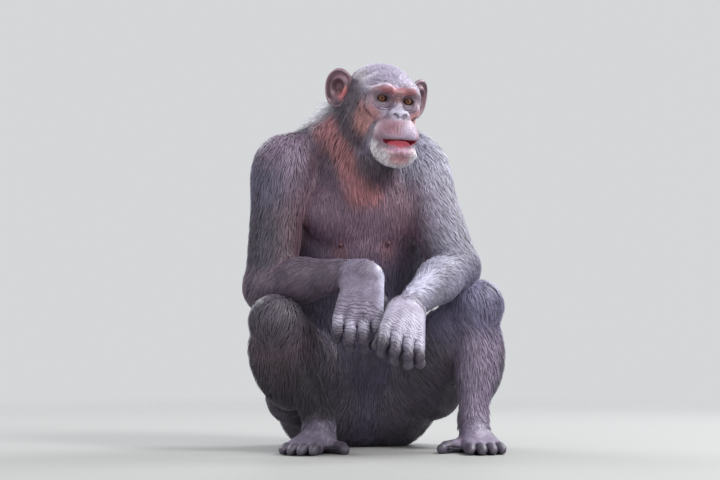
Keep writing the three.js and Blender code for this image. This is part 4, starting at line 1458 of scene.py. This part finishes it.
def coatMaterial():
    # each tuft is darker at its root, a painted shade, and lighter at its tip, a painted highlight, and
    # varies from its neighbours
    material, tree, shader = newMaterial("coat", 0.5, 0.55)
    shader.inputs["Sheen Weight"].default_value = 0.22
    shader.inputs["Sheen Roughness"].default_value = 0.35
    shader.inputs["Sheen Tint"].default_value = (0.82, 0.82, 1.0, 1)
    colour = mottled(tree, attribute(tree, "tone", "Color"), *coatLook["patches"])
    # painted shade towards each tuft's root and painted highlight towards its tip, then a random change from
    # tuft to tuft
    for name, look in (("along", "fromRoot"), ("tint", "fromTuft")):
        low, high = coatLook[look]
        vary = addNode(tree, "MapRange", {"Value": attribute(tree, name), "To Min": low, "To Max": high})
        colour = scaledColour(tree, colour, vary.outputs["Result"])
    tree.links.new(colour, shader.inputs["Base Color"])
    return material


# how the colour of the eye goes from the middle of the pupil out, by the angle in radians
eyeRings = [
    (0.0, (0.003, 0.002, 0.002)),
    (0.17, (0.005, 0.003, 0.003)),
    (0.21, (0.12, 0.045, 0.022)),
    (0.40, (0.19, 0.078, 0.038)),
    (0.54, (0.10, 0.038, 0.020)),
    (0.60, (0.012, 0.006, 0.006)),
    (0.8, (0.030, 0.015, 0.014)),
]


def eyeMaterial():
    material, tree, shader = newMaterial("eye", 0.3, 0.1)
    rings = addNode(tree, "ValToRGB", {"Fac": attribute(tree, "gaze")})
    ramp = rings.color_ramp
    while len(ramp.elements) < len(eyeRings):
        ramp.elements.new(0.5)
    for element, (place, colour) in zip(ramp.elements, eyeRings):
        element.position = place
        element.color = (*colour, 1)
    tree.links.new(mottled(tree, rings.outputs["Color"], 900, 0.3), shader.inputs["Base Color"])
    shader.inputs["Coat Weight"].default_value = 0.3
    shader.inputs["Coat Roughness"].default_value = 0.03
    return material


tongueLook = {"size": 420, "dark": (0.32, 0.025, 0.035, 1), "pale": (0.64, 0.12, 0.14, 1), "bump": 0.0006}


def dressTongue():
    # the solid keeps its shape and gets wet, uneven pink flesh
    material, tree, shader = newMaterial("tongue", 0.22)
    noise = addNode(tree, "TexNoise", {"Vector": objectPlace(tree), "Scale": tongueLook["size"]})
    grain = noise.outputs["Fac"]
    ramp = addNode(tree, "ValToRGB", {"Fac": grain})
    for element, look in zip(ramp.color_ramp.elements, ("dark", "pale")):
        element.color = tongueLook[look]
    bump = addNode(tree, "Bump", {"Height": grain, "Distance": tongueLook["bump"]})
    tree.links.new(ramp.outputs["Color"], shader.inputs["Base Color"])
    tree.links.new(bump.outputs["Normal"], shader.inputs["Normal"])
    solid = bpy.data.objects["tongue"]
    solid.data.materials.clear()
    solid.data.materials.append(material)


def nailMaterial():
    material, tree, shader = newMaterial("nail", 0.32)
    plain = tree.nodes.new("ShaderNodeRGB")
    plain.outputs["Color"].default_value = (*markingsAndPaintedLight["nail"], 1)
    tree.links.new(mottled(tree, plain.outputs["Color"], 240, 0.4), shader.inputs["Base Color"])
    return material


bareSkin = skinMaterial()
nails.data.materials.append(nailMaterial())
coatFinish = coatMaterial()
eyeFinish = eyeMaterial()
skinPoints = coordinates(skin) / mm
skinEach = regionDistances(skinPoints)
setTone(skin, toneOf(skinPoints, skinEach))
setFolds(skin, *foldsAt(skinPoints, skinEach))
skin.data.materials.append(bareSkin)
for made, side, shade in zip(ears, (-1, 1), earShades):
    q = toHead(coordinates(made) / mm)
    tone = np.tile(np.array(markingsAndPaintedLight["ear"]), (len(q), 1))
    # painted shade in the hollow of the ear
    tone = paint(tone, "earHollow", 0.85 * shade[:, 1])
    inner = ear["root"] * vec(side, 1, 1) + vec(12 * side, 4, -12)
    tone = paint(tone, "earInner", 0.9 * near(q, inner, (13, 16, 17), 0.5))
    # painted highlight on the outer rim of the ear
    tone = paint(tone, "earRim", 0.8 * shade[:, 0])
    setTone(made, tone)
    setFolds(made, np.zeros(len(q)), np.zeros(len(q)))
    made.data.materials.append(bareSkin)
for made in eyes:
    made.data.materials.append(eyeFinish)
dressTongue()
print("materials")

# coat
coatBuild = {
    "tufts": 90000,
    "most": 12300,  # tufts in one piece
    "seed": 7,
    "mixedOver": 9,
    "sunk": 3.0,
    "round": 0.6,  # how far the shading turns from one side of a tuft to the other
    "wander": [(0.14, 55, 3), (0.08, 18, 4)],  # strength, wave and seed
    "stray": 0.07,
    "overFloor": 0.5,
    "patch": 0.003,  # size of a tuft's place on the unwrap
    "steps": [(0.34, 0.5), (0.33, 0.82), (0.33, 1.0)],  # share of the length, and of the height
    "rings": [(0.75, 0.3), (1.0, 0.42), (0.72, 0.3)],  # share of the width, and thickness
}
hair = {
    # length, width, height of the tip over the skin, share of tufts for its area
    "back": (44, 2.6, 9, 0.8),
    "chest": (24, 1.7, 4.5, 0.9),
    "neck": (32, 1.8, 8, 1.4),
    "crown": (13, 1.3, 3, 2.2),
    "cheek": (24, 1.5, 6, 1.8),
    "upperArm": (33, 1.9, 6, 1.3),
    "forearm": (25, 1.6, 5, 1.6),
    "thigh": (34, 2.1, 7, 1.0),
    "shin": (30, 2.0, 7, 1.0),
    "hand": (13, 0.9, 1.8, 0.9),
    "foot": (12, 1.0, 2.0, 0.9),
    "beard": (13, 0.75, 4.5, 0.0),
}


def regionWeights(each):
    # how much each region counts at a point, mixed over a few millimetres where they meet
    weights = np.exp(-(each - each.min(axis=1, keepdims=True)) / coatBuild["mixedOver"])
    return weights / weights.sum(axis=1, keepdims=True)


def sideways(q, share):
    # away from the middle line
    return np.stack([np.sign(q[:, 0]) * share, 0 * q[:, 0], 0 * q[:, 0]], axis=1)


def limbWay(kind, limb, sign):
    # the way the coat lies on a part of a limb
    if kind == "upperArm":
        return unit(limb["elbow"] - limb["shoulder"]) + vec(0.12 * sign, 0.15, 0)
    if kind == "forearm":
        return 0.75 * unit(limb["elbow"] - limb["wrist"]) + down * 0.75
    if kind == "hand":
        return unit(middleOf(limb) - limb["wrist"]) + vec(0.4 * sign, 0, 0)
    if kind == "thigh":
        return 0.55 * unit(limb["knee"] - limb["hip"]) + down + vec(0.1 * sign, 0, 0)
    if kind == "shin":
        return down + vec(0.15 * sign, 0.2, 0)
    return vec(0.1 * sign, -1, -0.3)


def lieAndHair(p, each):
    # the way the coat lies, and its hair, mixed from the regions near each point
    weights = regionWeights(each)
    local, q = p @ turned, toHead(p)
    lie, sizes = np.zeros_like(p), np.zeros((len(p), 4))
    for i, name in enumerate(regionNames):
        kind = name.removesuffix("Left").removesuffix("Right")
        if kind == "trunk":
            outward = sideways(local, 0.25) @ turned.T
            way = down + outward * smoothStep(-20, 40, local[:, 1])[:, None]
            isFront = smoothStep(-30, -80, local[:, 1])[:, None]
            size = np.array(hair["back"]) * (1 - isFront) + np.array(hair["chest"]) * isFront
        elif kind == "neck":
            way, size = np.tile(vec(0, 0.25, -1), (len(p), 1)), np.array(hair["neck"])
        elif kind == "head":
            toBack = smoothStep(-10, 60, q[:, 2])[:, None]
            way = vec(0, 1, -0.25) * toBack + (vec(0, 0.45, -1) + sideways(q, 0.15)) * (1 - toBack)
            way = way @ headAxes.T
            low = smoothStep(30, -20, q[:, 2])[:, None]
            size = np.array(hair["crown"]) * (1 - low) + np.array(hair["cheek"]) * low
        else:
            limb = limbs[name.removeprefix(kind)]
            way, size = limbWay(kind, limb, limb["sign"]), np.array(hair[kind])
        lie += weights[:, i:i + 1] * unit(way)
        sizes += weights[:, i:i + 1] * size
    return lie, sizes


def softNoise(p, wave, seed):
    # smooth random vectors, from a few sine waves
    draw = np.random.default_rng(seed)
    total = np.zeros_like(p)
    for _ in range(7):
        ways = unit(draw.normal(size=(3, 3))) * (2 * math.pi / (wave * draw.uniform(0.6, 1.6)))
        phases = draw.uniform(0, 2 * math.pi, 3)
        total += np.sin(p @ ways.T + phases)
    return total / 3.0


def faceArrays(o):
    o.data.calc_loop_triangles()
    count = len(o.data.loop_triangles)
    index = np.empty(count * 3, np.int32)
    o.data.loop_triangles.foreach_get("vertices", index)
    return index.reshape(-1, 3)


def scatter(points, triangles, share, count, draw):
    # roots at random over the triangles, by area and share
    a, b, c = (points[triangles[:, k]] for k in range(3))
    normal = np.cross(b - a, c - a)
    area = np.linalg.norm(normal, axis=1) / 2
    weight = area * share
    picked = np.sort(draw.choice(len(triangles), size=count, p=weight / weight.sum()))
    u, v = draw.random((2, count))
    flip = u + v > 1
    u[flip], v[flip] = 1 - u[flip], 1 - v[flip]
    at = a[picked] + u[:, None] * (b - a)[picked] + v[:, None] * (c - a)[picked]
    return at, unit(normal[picked])


def tuftPoints(roots, outward, lie, length, width, height):
    # three rings of three points and a tip for each tuft, which follows the skin
    along = unit(lie - outward * np.sum(lie * outward, axis=1, keepdims=True))
    path, directions, outs = [roots - outward * coatBuild["sunk"]], [along], [outward]
    here, way, out = roots, along, outward
    for share, rise in coatBuild["steps"]:
        here = here + way * (length * share)[:, None]
        out = slopeOf(skinDistance, here, 2.0)
        gap = skinDistance(here)
        onSkin = here - out * gap[:, None]
        path.append(onSkin + out * (height * rise)[:, None])
        way = unit(way - out * np.sum(way * out, axis=1, keepdims=True))
        here = onSkin
        directions.append(way)
        outs.append(out)
    vertices = np.empty((len(roots), len(tuftAlong), 3))
    normals = np.empty_like(vertices)
    for k, (wide, thick) in enumerate(coatBuild["rings"]):
        across = unit(np.cross(outs[k], directions[k]))
        half = (width * wide / 2)[:, None]
        vertices[:, 3 * k] = path[k] - across * half
        vertices[:, 3 * k + 1] = path[k] + across * half
        vertices[:, 3 * k + 2] = path[k] + outs[k] * half * 2 * thick
        normals[:, 3 * k] = unit(outs[k] - across * coatBuild["round"])
        normals[:, 3 * k + 1] = unit(outs[k] + across * coatBuild["round"])
        normals[:, 3 * k + 2] = outs[k]
    vertices[:, 9] = path[3]
    normals[:, 9] = outs[3]
    return vertices, normals


# the points of a tuft: how far along it each is and which side it is on, and its faces
tuftAlong = [0, 0, 0, 0.34, 0.34, 0.34, 0.67, 0.67, 0.67, 1.0]
tuftAcross = [0, 1, 0.5, 0, 1, 0.5, 0, 1, 0.5, 0.5]
tuftFaces = [(0, 2, 1)]
for low, high in ((0, 3), (3, 6)):
    tuftFaces += [(low + a, low + b, high + b, high + a) for a, b in ((0, 1), (1, 2), (2, 0))]
tuftFaces += [(6 + a, 6 + b, 9) for a, b in ((0, 1), (1, 2), (2, 0))]
tuftTriangles = sum(len(f) - 2 for f in tuftFaces)


def tuftObject(name, vertices, normals, tone, tint, unwrapped):
    count, each = vertices.shape[:2]
    starts = np.arange(count)[:, None] * each
    corners = np.concatenate([np.array(f) for f in tuftFaces])
    loops = (starts + corners[None]).ravel()
    sizes = np.tile([len(f) for f in tuftFaces], count)
    mesh = bpy.data.meshes.new(name)
    mesh.vertices.add(count * each)
    mesh.vertices.foreach_set("co", (vertices * mm).astype(np.float32).ravel())
    mesh.loops.add(len(loops))
    mesh.loops.foreach_set("vertex_index", loops.astype(np.int32))
    mesh.polygons.add(len(sizes))
    mesh.polygons.foreach_set("loop_start", np.concatenate([[0], np.cumsum(sizes)[:-1]]).astype(np.int32))
    mesh.update(calc_edges=True)
    mesh.polygons.foreach_set("use_smooth", np.ones(len(sizes), bool))
    mesh.normals_split_custom_set_from_vertices(normals.reshape(-1, 3).astype(np.float32))
    made = bpy.data.objects.new(name, mesh)
    bpy.context.collection.objects.link(made)
    setTone(made, np.repeat(tone, each, axis=0))
    setValue(made, "tint", np.repeat(tint, each))
    setValue(made, "along", np.tile(tuftAlong, count))
    # each tuft is a small patch at its root's place on the unwrap
    patch = np.stack([tuftAcross, tuftAlong], axis=1) * coatBuild["patch"]
    places = (unwrapped[:, None, :] + patch[None]).reshape(-1, 2)
    layer = mesh.uv_layers.new(name="OFBake")
    layer.data.foreach_set("uv", places[loops].astype(np.float32).ravel())
    return made


def unwrap(p, line, aside):
    # round a line and along it, as the skin there would open out flat
    a, b = line
    axis = unit(b - a)
    across = unit(aside - axis * (aside @ axis))
    third = np.cross(axis, across)
    rel = p - a
    turn = np.arctan2(rel @ third, rel @ across) / (2 * math.pi) + 0.5
    rise = rel @ axis
    rise = (rise - rise.min()) / max(float(np.ptp(rise)), 1e-6)
    return np.stack([0.01 + 0.97 * turn, 0.01 + 0.97 * rise], axis=1)


coatPieces = {
    "coatHead": (["head", "neck"], "head"),
    "coatTrunk": (["trunk"], "trunk"),
}
for name in limbs:
    coatPieces["coatArm" + name] = (["upperArm" + name, "forearm" + name, "hand" + name], "upperArm" + name)
    coatPieces["coatThigh" + name] = (["thigh" + name], "thigh" + name)
    coatPieces["coatShin" + name] = (["shin" + name, "foot" + name], "shin" + name)


def handBackShare(p, each):
    # sparse short hair on the backs of the hands and the tops of the feet
    total = np.zeros(len(p))
    for name, limb in limbs.items():
        onHand = smoothStep(3, 0, np.abs(to("hand" + name, each)))
        past = (p - limb["wrist"]) @ unit(middleOf(limb) - limb["wrist"])
        onHand *= 0.15 if name == "Left" else smoothStep(72, 44, past)
        back = smoothStep(-0.2, 0.5, (limb["wrist"][1] - p[:, 1]) / 60)
        onFoot = smoothStep(3, 0, np.abs(to("foot" + name, each))) * smoothStep(12, 26, p[:, 2])
        total = np.maximum(total, np.maximum(onHand * back, onFoot))
    return total


def rootShare(p, each):
    # how many tufts grow at each point, for its area
    _, sizes = lieAndHair(p, each)
    share = sizes[:, 3] * smoothStep(0.15, 0.6, 1 - bareness(p, each))
    share *= smoothStep(2, 14, p[:, 2])
    share += 1.2 * handBackShare(p, each)
    for place, _ in nipples:
        share *= 1 - near(p, place, (9, 14, 9), 0.3)
    return share + 5.5 * beardShare(toHead(p)) * smoothStep(12, 2, to("head", each))


def tuftSizes(p, each, sizes, beard, draw):
    # length, width and height: short near bare skin, long beside the ears and raised at the nape
    count = len(p)
    cover = np.maximum(smoothStep(0.05, 0.6, 1 - bareness(p, each)), smoothStep(0.1, 0.5, beard))
    length = sizes[:, 0] * draw.uniform(0.72, 1.2, count) * (0.35 + 0.65 * cover)
    width = sizes[:, 1] * draw.uniform(0.7, 1.25, count) * (0.6 + 0.4 * cover)
    height = sizes[:, 2] * draw.uniform(0.35, 1.15, count) * (0.3 + 0.7 * cover)
    centre = headPlace["centre"]
    fringe = near(p, centre + vec(-74, 50, -50), (60, 90, 80), 0.4)
    fringe = np.maximum(fringe, near(p, limbs["Left"]["shoulder"] + vec(10, 0, 66), (70, 80, 40), 0.5))
    backOfNeck = near(p, centre + vec(-80, 56, -40), (60, 80, 90), 0.3)
    height *= 1 + (1.2 * fringe + 2.6 * backOfNeck) * draw.random(count)
    length *= 1 + 0.9 * near(bothSides(toHead(p)), vec(66, -10, 10), (20, 34, 44), 0.4)
    return length, width, height


def growCoat():
    draw = np.random.default_rng(coatBuild["seed"])
    points = coordinates(skin) / mm
    triangles = faceArrays(skin)
    middles = points[triangles].mean(axis=1)
    share = rootShare(middles, regionDistances(middles))
    roots, outward = scatter(points, triangles, share, coatBuild["tufts"], draw)
    each = regionDistances(roots)
    lie, sizes = lieAndHair(roots, each)
    for strength, wave, seed in coatBuild["wander"]:
        lie = lie + strength * softNoise(roots, wave, seed)
    lie = lie + draw.normal(0, coatBuild["stray"], roots.shape)
    beard = beardShare(toHead(roots)) * smoothStep(12, 2, to("head", each))
    sizes = mixed(sizes, np.array(hair["beard"]), smoothStep(0.1, 0.5, beard))
    vertices, normals = tuftPoints(roots, outward, lie, *tuftSizes(roots, each, sizes, beard, draw))
    vertices[:, :, 2] = np.maximum(vertices[:, :, 2], coatBuild["overFloor"])
    tone = paint(toneOf(roots, each), "beard", smoothStep(0.1, 0.7, beard))
    tint = draw.random(len(roots))
    nearest = np.argmin(each, axis=1)
    made = []
    for name, (members, main) in coatPieces.items():
        mine = np.isin(nearest, [regionNames.index(m) for m in members])
        chosen = np.flatnonzero(mine)
        parts = max(1, math.ceil(len(chosen) / coatBuild["most"]))
        order = np.argsort(roots[chosen, 2], kind="stable")
        for k, part in enumerate(np.array_split(chosen[order], parts)):
            places = unwrap(roots[part], regions[main]["line"], vec(0.3, 1, 0.1))
            label = name if parts == 1 else name + str(k + 1)
            made.append(tuftObject(label, vertices[part], normals[part], tone[part], tint[part], places))
    return made


coat = growCoat()
for piece in coat:
    piece.data.materials.append(coatFinish)
    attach(piece, "root")
print("coat", len(coat), "pieces", coatBuild["tufts"] * tuftTriangles, "triangles")

# floor, light and camera
floorRadius, floorSides = 2.6, 96
fadeStart, fadeEnd = 1.2, floorRadius - 0.05  # where it goes over into the background
turns = np.arange(floorSides) * 2 * math.pi / floorSides
rim = [(floorRadius * math.cos(t), floorRadius * math.sin(t), 0) for t in turns]
floor = meshObject("floor", rim, [tuple(range(floorSides))])
paleFloor, floorTree, floorShader = newMaterial("paleFloor", 0.5, 0.1)
floorShader.inputs["Base Color"].default_value = (0.33, 0.33, 0.325, 1)
fromMiddle = addNode(floorTree, "VectorMath", {0: objectPlace(floorTree)}, operation="LENGTH")
fade = addNode(floorTree, "MapRange", {
    "Value": fromMiddle.outputs["Value"], "From Min": fadeStart, "From Max": fadeEnd,
    "To Min": 1, "To Max": 0,
}, interpolation_type="SMOOTHSTEP")
floorTree.links.new(fade.outputs["Result"], floorShader.inputs["Alpha"])
floor.data.materials.append(paleFloor)
world = bpy.data.worlds.new("studio")
bpy.context.scene.world = world
world.use_nodes = True
sky = world.node_tree.nodes["Background"].inputs
sky["Color"].default_value = (0.92, 0.94, 0.96, 1)
sky["Strength"].default_value = 0.72


def softLight(name, place, target, size, power, colour=(1, 1, 1)):
    light = bpy.data.lights.new(name, "AREA")
    light.shape = "DISK"
    light.size = size
    light.energy = power
    light.color = colour
    made = bpy.data.objects.new(name, light)
    made.location = place
    bpy.context.collection.objects.link(made)
    made.rotation_euler = (Vector(target) - Vector(place)).to_track_quat("-Z", "Y").to_euler()


softLight("key", (2.0, -1.6, 2.7), (0, 0, 0.5), 1.2, 105, (1.0, 0.99, 0.98))
softLight("fill", (-2.4, -2.2, 1.3), (0, 0, 0.4), 2.2, 17)
softLight("low", (0.5, -3.4, 0.7), (0, 0, 0.35), 2.0, 15)
softLight("skyLeft", (-1.6, 1.4, 2.4), (0, 0, 0.6), 1.4, 60, (0.95, 0.97, 1.0))
softLight("skyRight", (1.9, 1.2, 2.2), (0, 0, 0.5), 1.4, 80, (0.95, 0.97, 1.0))

# the camera stands level in front of the middle of the picture, which is so wide there
cameraPlace = {"distance": 7.5, "width": 1.548, "middle": (0.0086, -0.15, 0.4515)}
camera = bpy.data.cameras.new("camera")
camera.sensor_width = 36
camera.lens = camera.sensor_width * cameraPlace["distance"] / cameraPlace["width"]
cameraObject = bpy.data.objects.new("camera", camera)
bpy.context.collection.objects.link(cameraObject)
cameraObject.location = Vector(cameraPlace["middle"]) + cameraPlace["distance"] * Vector(front)
cameraObject.rotation_euler = (math.pi / 2, 0, 0)
bpy.context.scene.camera = cameraObject
bpy.context.scene.view_settings.view_transform = "Standard"
print("floor, light and camera")
